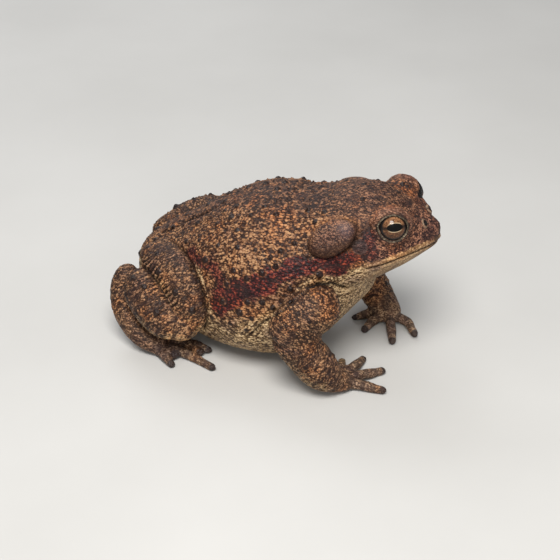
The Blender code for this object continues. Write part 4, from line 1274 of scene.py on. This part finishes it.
LAYERS = (
    ("leg", LEG, 1.0), ("dorsal", DORSAL, 1.0), ("crown", CROWN, 0.95), ("cheek", CHEEK, 0.9),
    ("pale", PALE, 1.0), ("underside", PALE, 0.8), ("red", RED, 1.0), ("gland", GLAND, 1.0),
    ("digit", DIGIT, 1.0), ("chin", CHIN, 1.0), ("lip", LIP, 0.95), ("cream", PALE, 0.9),
    ("gland_rim", RIM, 0.75), ("dome", DOME, 0.85), ("brow", BROW, 0.85),
    # Painted shade low on the gland, and a painted highlight on its top
    ("gland_painted_shade", (0.032, 0.013, 0.008), 0.75), ("gland_painted_highlight", (0.24, 0.185, 0.20), 0.36),
    ("drum", DRUM, 0.9), ("drum_ring", (0.14, 0.085, 0.068), 0.40),
    ("blotch_and_shade", (0.025, 0.013, 0.013), 0.72), ("band", (0.050, 0.031, 0.026), 0.65),
    ("tip", (0.032, 0.023, 0.024), 0.92), ("wart_foot", RIM, 0.65), ("wart", (0.014, 0.007, 0.006), 0.96))
LID = ((0.20, (0.045, 0.037, 0.026)), (0.6, (0.13, 0.113, 0.083)), (1.0, (0.30, 0.265, 0.205)))
# Of these, the first layer paints shade into the creases and the last into the nostrils
LATE_LAYERS = (
    ("crease_shade", (0.010, 0.006, 0.004), 1.0), ("lid_inside", (0.040, 0.038, 0.036), 1.0),
    ("lid", LID, 1.0), ("corner", (0.006, 0.005, 0.005), 1.0), ("nostril_rim", (0.42, 0.32, 0.23), 0.6),
    ("nostril", (0.002, 0.0015, 0.0015), 1.0))
WARM = (0.86, 0.79, 0.71)
ROUGHNESS = 0.56


# %% The skin's material
def skin_tone(tree):
    """From 0 in a groove to 1 on a granule's tip, the grooves dark partly as painted shade, and how high
    the skin stands there.
    """
    grain = attribute(tree, "grain")
    coarse_way, coarse_luck = cells(tree, 0.92)
    fine_way, fine_luck = cells(tree, 1.85)
    way = blend(tree, coarse_way, fine_way, grain)
    luck = blend(tree, coarse_luck, fine_luck, grain)
    dome = calculate(tree, "MULTIPLY_ADD", way, -0.75, 0.13)
    tone = calculate(tree, "MULTIPLY_ADD", attribute(tree, "tone"), 0.50, dome)
    tone = calculate(tree, "MULTIPLY_ADD", luck, 0.68, tone)
    tone = calculate(tree, "MULTIPLY_ADD", fine_luck, 0.34, tone)
    grit = calculate(tree, "MULTIPLY_ADD", noise(tree, 2600.0, 2.0), 0.30, -0.15)
    tone = calculate(tree, "ADD", tone, grit)
    return calculate(tree, "MULTIPLY_ADD", tone, 1.28, -0.155), calculate(tree, "MULTIPLY", way, -1.0)


def paint_layers(tree, colour, tone, layers):
    """The colour with each layer laid over it in turn."""
    for name, paint, strength in layers:
        share = calculate(tree, "MULTIPLY", attribute(tree, name), strength)
        top = paint if isinstance(paint[0], float) else colour_run(tree, tone, paint)
        colour = over(tree, colour, top, share)
    return colour


def skin_material():
    material, tree, shader = new_material("toad skin")
    tone, bumps = skin_tone(tree)
    colour = paint_layers(tree, colour_run(tree, tone, BACK), tone, LAYERS)
    patches = noise(tree, 85.0, 3.0)
    rich = calculate(tree, "SUBTRACT", 1.0, calculate(tree, "MULTIPLY", attribute(tree, "pale"), 0.9))
    warm = calculate(tree, "MULTIPLY", stretch(tree, patches, 0.52, 0.68), rich)
    colour = tinted(tree, colour, (1.22, 0.97, 0.76), warm)
    colour = tinted(tree, colour, (0.80, 0.77, 0.88), stretch(tree, patches, 0.48, 0.34))
    speck_way, speck_luck = cells(tree, 0.45)
    chosen = stretch(tree, speck_luck, 0.40, 0.46)
    speck = calculate(tree, "MULTIPLY", stretch(tree, speck_way, 0.20, 0.13), chosen)
    speck = calculate(tree, "MULTIPLY", speck, attribute(tree, "speck"))
    colour = over(tree, colour, (0.020, 0.012, 0.010), speck)
    colour = paint_layers(tree, colour, tone, LATE_LAYERS)
    tree.links.new(tinted(tree, colour, WARM, None), shader.inputs["Base Color"])
    moist = calculate(tree, "MULTIPLY", attribute(tree, "lid"), 0.2)
    for name, share in (("gland", 0.45), ("tip", 1.0), ("wart", 0.6), ("lid_inside", 1.0), ("corner", 1.0)):
        moist = calculate(tree, "MAXIMUM", moist, calculate(tree, "MULTIPLY", attribute(tree, name), share))
    tree.links.new(calculate(tree, "MULTIPLY_ADD", moist, -0.30, ROUGHNESS), shader.inputs["Roughness"])
    shader.inputs["Specular IOR Level"].default_value = 0.24
    bump = tree.nodes.new("ShaderNodeBump")
    bump.inputs["Strength"].default_value = 0.85
    bump.inputs["Distance"].default_value = 0.0005
    tree.links.new(bumps, bump.inputs["Height"])
    tree.links.new(bump.outputs["Normal"], shader.inputs["Normal"])
    return material


skin.data.materials.clear()
skin.data.materials.append(skin_material())

# %% [markdown]
# ## Eyes
# A toad's eye is a glossy ball. Its pupil is a level oval with a thin pale rim below, the iris is gold
# above and brown below, crossed by dark veins, and a dark edge runs round it. The ball carries its own
# two coordinates across the iris as attributes, so that the material can draw ovals and a band on it.

# %% The eyeballs
EYE_SEGMENTS = 128
IRIS_RADIUS = 5.25
IRIS_MIDDLE = (0.25, 0.10)
PUPIL = (3.6, 1.9)
PUPIL_MIDDLE = (0.65, 0.25)
PUPIL_TILT = math.radians(5.0)
EYE_SHRINK = 0.10


def eyeball(name, side):
    """A ball in the place of its solid, with its pole on the gaze."""
    low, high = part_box(name)
    radius = (high.x - low.x) / 2 - EYE_SHRINK * MM
    forward, up, gaze = eye_axes(side)
    bm = bmesh.new()
    bmesh.ops.create_uvsphere(bm, u_segments=EYE_SEGMENTS, v_segments=EYE_SEGMENTS // 2, radius=radius)
    turned = Matrix((forward, up, gaze)).transposed()
    cos, sin = math.cos(PUPIL_TILT) / MM, math.sin(PUPIL_TILT) / MM
    across = [vert.co.x * cos + vert.co.y * sin for vert in bm.verts]
    upward = [vert.co.y * cos - vert.co.x * sin for vert in bm.verts]
    place = Matrix.Translation((low + high) / 2) @ turned.to_4x4()
    bmesh.ops.transform(bm, matrix=place, verts=bm.verts)
    bmesh.ops.recalc_face_normals(bm, faces=bm.faces)
    mesh = bpy.data.meshes.new(name + "_ball")
    bm.to_mesh(mesh)
    bm.free()
    for label, values in (("across", across), ("upward", upward)):
        mesh.attributes.new(label, "FLOAT", "POINT").data.foreach_set("value", values)
    mesh.shade_smooth()
    ball = bpy.data.objects.new(name + "_ball", mesh)
    bpy.context.scene.collection.objects.link(ball)
    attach(ball, "root")
    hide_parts(name)
    return ball


def eye_material():
    material, tree, shader = new_material("toad eye")
    across, upward = attribute(tree, "across"), attribute(tree, "upward")

    def oval(wide, tall, middle):
        """How far out a point is, with 1 on an oval of these half widths."""
        first = calculate(tree, "DIVIDE", calculate(tree, "SUBTRACT", across, middle[0]), wide)
        second = calculate(tree, "DIVIDE", calculate(tree, "SUBTRACT", upward, middle[1]), tall)
        squares = [calculate(tree, "MULTIPLY", value, value) for value in (first, second)]
        return calculate(tree, "SQRT", calculate(tree, "ADD", *squares))

    veins = noise(tree, 900.0, 5.0)
    threads = stretch(tree, calculate(tree, "ABSOLUTE", calculate(tree, "SUBTRACT", veins, 0.5)), 0.0, 0.07)
    level = calculate(tree, "SUBTRACT", upward, PUPIL_MIDDLE[1])
    shade = stretch(tree, level, -4.5, 4.5, 0.22, 0.52)
    mottle = calculate(tree, "MULTIPLY_ADD", noise(tree, 1800.0, 3.0), 0.8, -0.4)
    shade = calculate(tree, "ADD", shade, mottle)
    shade = calculate(tree, "MULTIPLY", shade, stretch(tree, threads, 0.0, 1.0, 0.45, 1.0))
    iris = colour_run(tree, shade, (
        (0.0, (0.016, 0.007, 0.004)), (0.28, (0.085, 0.036, 0.016)), (0.55, (0.27, 0.125, 0.055)),
        (1.0, (0.60, 0.39, 0.24))))
    stripe = stretch(tree, calculate(tree, "ABSOLUTE", level), 0.2, 1.3, 0.9, 0.0)
    iris = over(tree, iris, (0.010, 0.007, 0.006), stripe)
    ring = oval(IRIS_RADIUS, IRIS_RADIUS * 0.97, IRIS_MIDDLE)
    colour = over(tree, (0.006, 0.005, 0.005), iris, stretch(tree, ring, 1.0, 0.90))
    pupil = oval(*PUPIL, PUPIL_MIDDLE)
    sideways = calculate(tree, "ABSOLUTE", calculate(tree, "SUBTRACT", across, PUPIL_MIDDLE[0]))
    pale = calculate(
        tree, "MULTIPLY", stretch(tree, pupil, 1.20, 1.12), stretch(tree, sideways, 3.4, 2.4, 0.0, 0.85))
    colour = over(tree, colour, (0.42, 0.31, 0.19), pale)
    colour = over(tree, colour, (0.0015, 0.0015, 0.0015), stretch(tree, pupil, 1.04, 0.97))
    tree.links.new(colour, shader.inputs["Base Color"])
    shader.inputs["Roughness"].default_value = 0.35
    shader.inputs["Specular IOR Level"].default_value = 0.05
    shader.inputs["Coat Weight"].default_value = 1.0
    shader.inputs["Coat Roughness"].default_value = 0.04
    shader.inputs["Coat IOR"].default_value = 1.30
    return material


glossy = eye_material()
for side_name, side in SIDES:
    ball = eyeball("eye_" + side_name, side)
    ball.data.materials.append(glossy)

# %% [markdown]
# ## Floor finish, the skin's triangles and the end
# The floor is a plain pale board with a faint grain. The last cell prints how many triangles the skin
# has, and hands everything over.

# %% Floor finish
material, tree, shader = new_material("pale floor")
grain = colour_run(tree, noise(tree, 6.0, 6.0), ((0.3, (0.46, 0.455, 0.44)), (0.7, (0.51, 0.505, 0.49))))
tree.links.new(grain, shader.inputs["Base Color"])
shader.inputs["Roughness"].default_value = 0.8
floor.data.materials.append(material)

# %% Hand over
skin.data.shade_smooth()
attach(skin, "root")
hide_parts(*PIECES)
print("triangles of the skin:", sum(len(face.vertices) - 2 for face in skin.data.polygons))
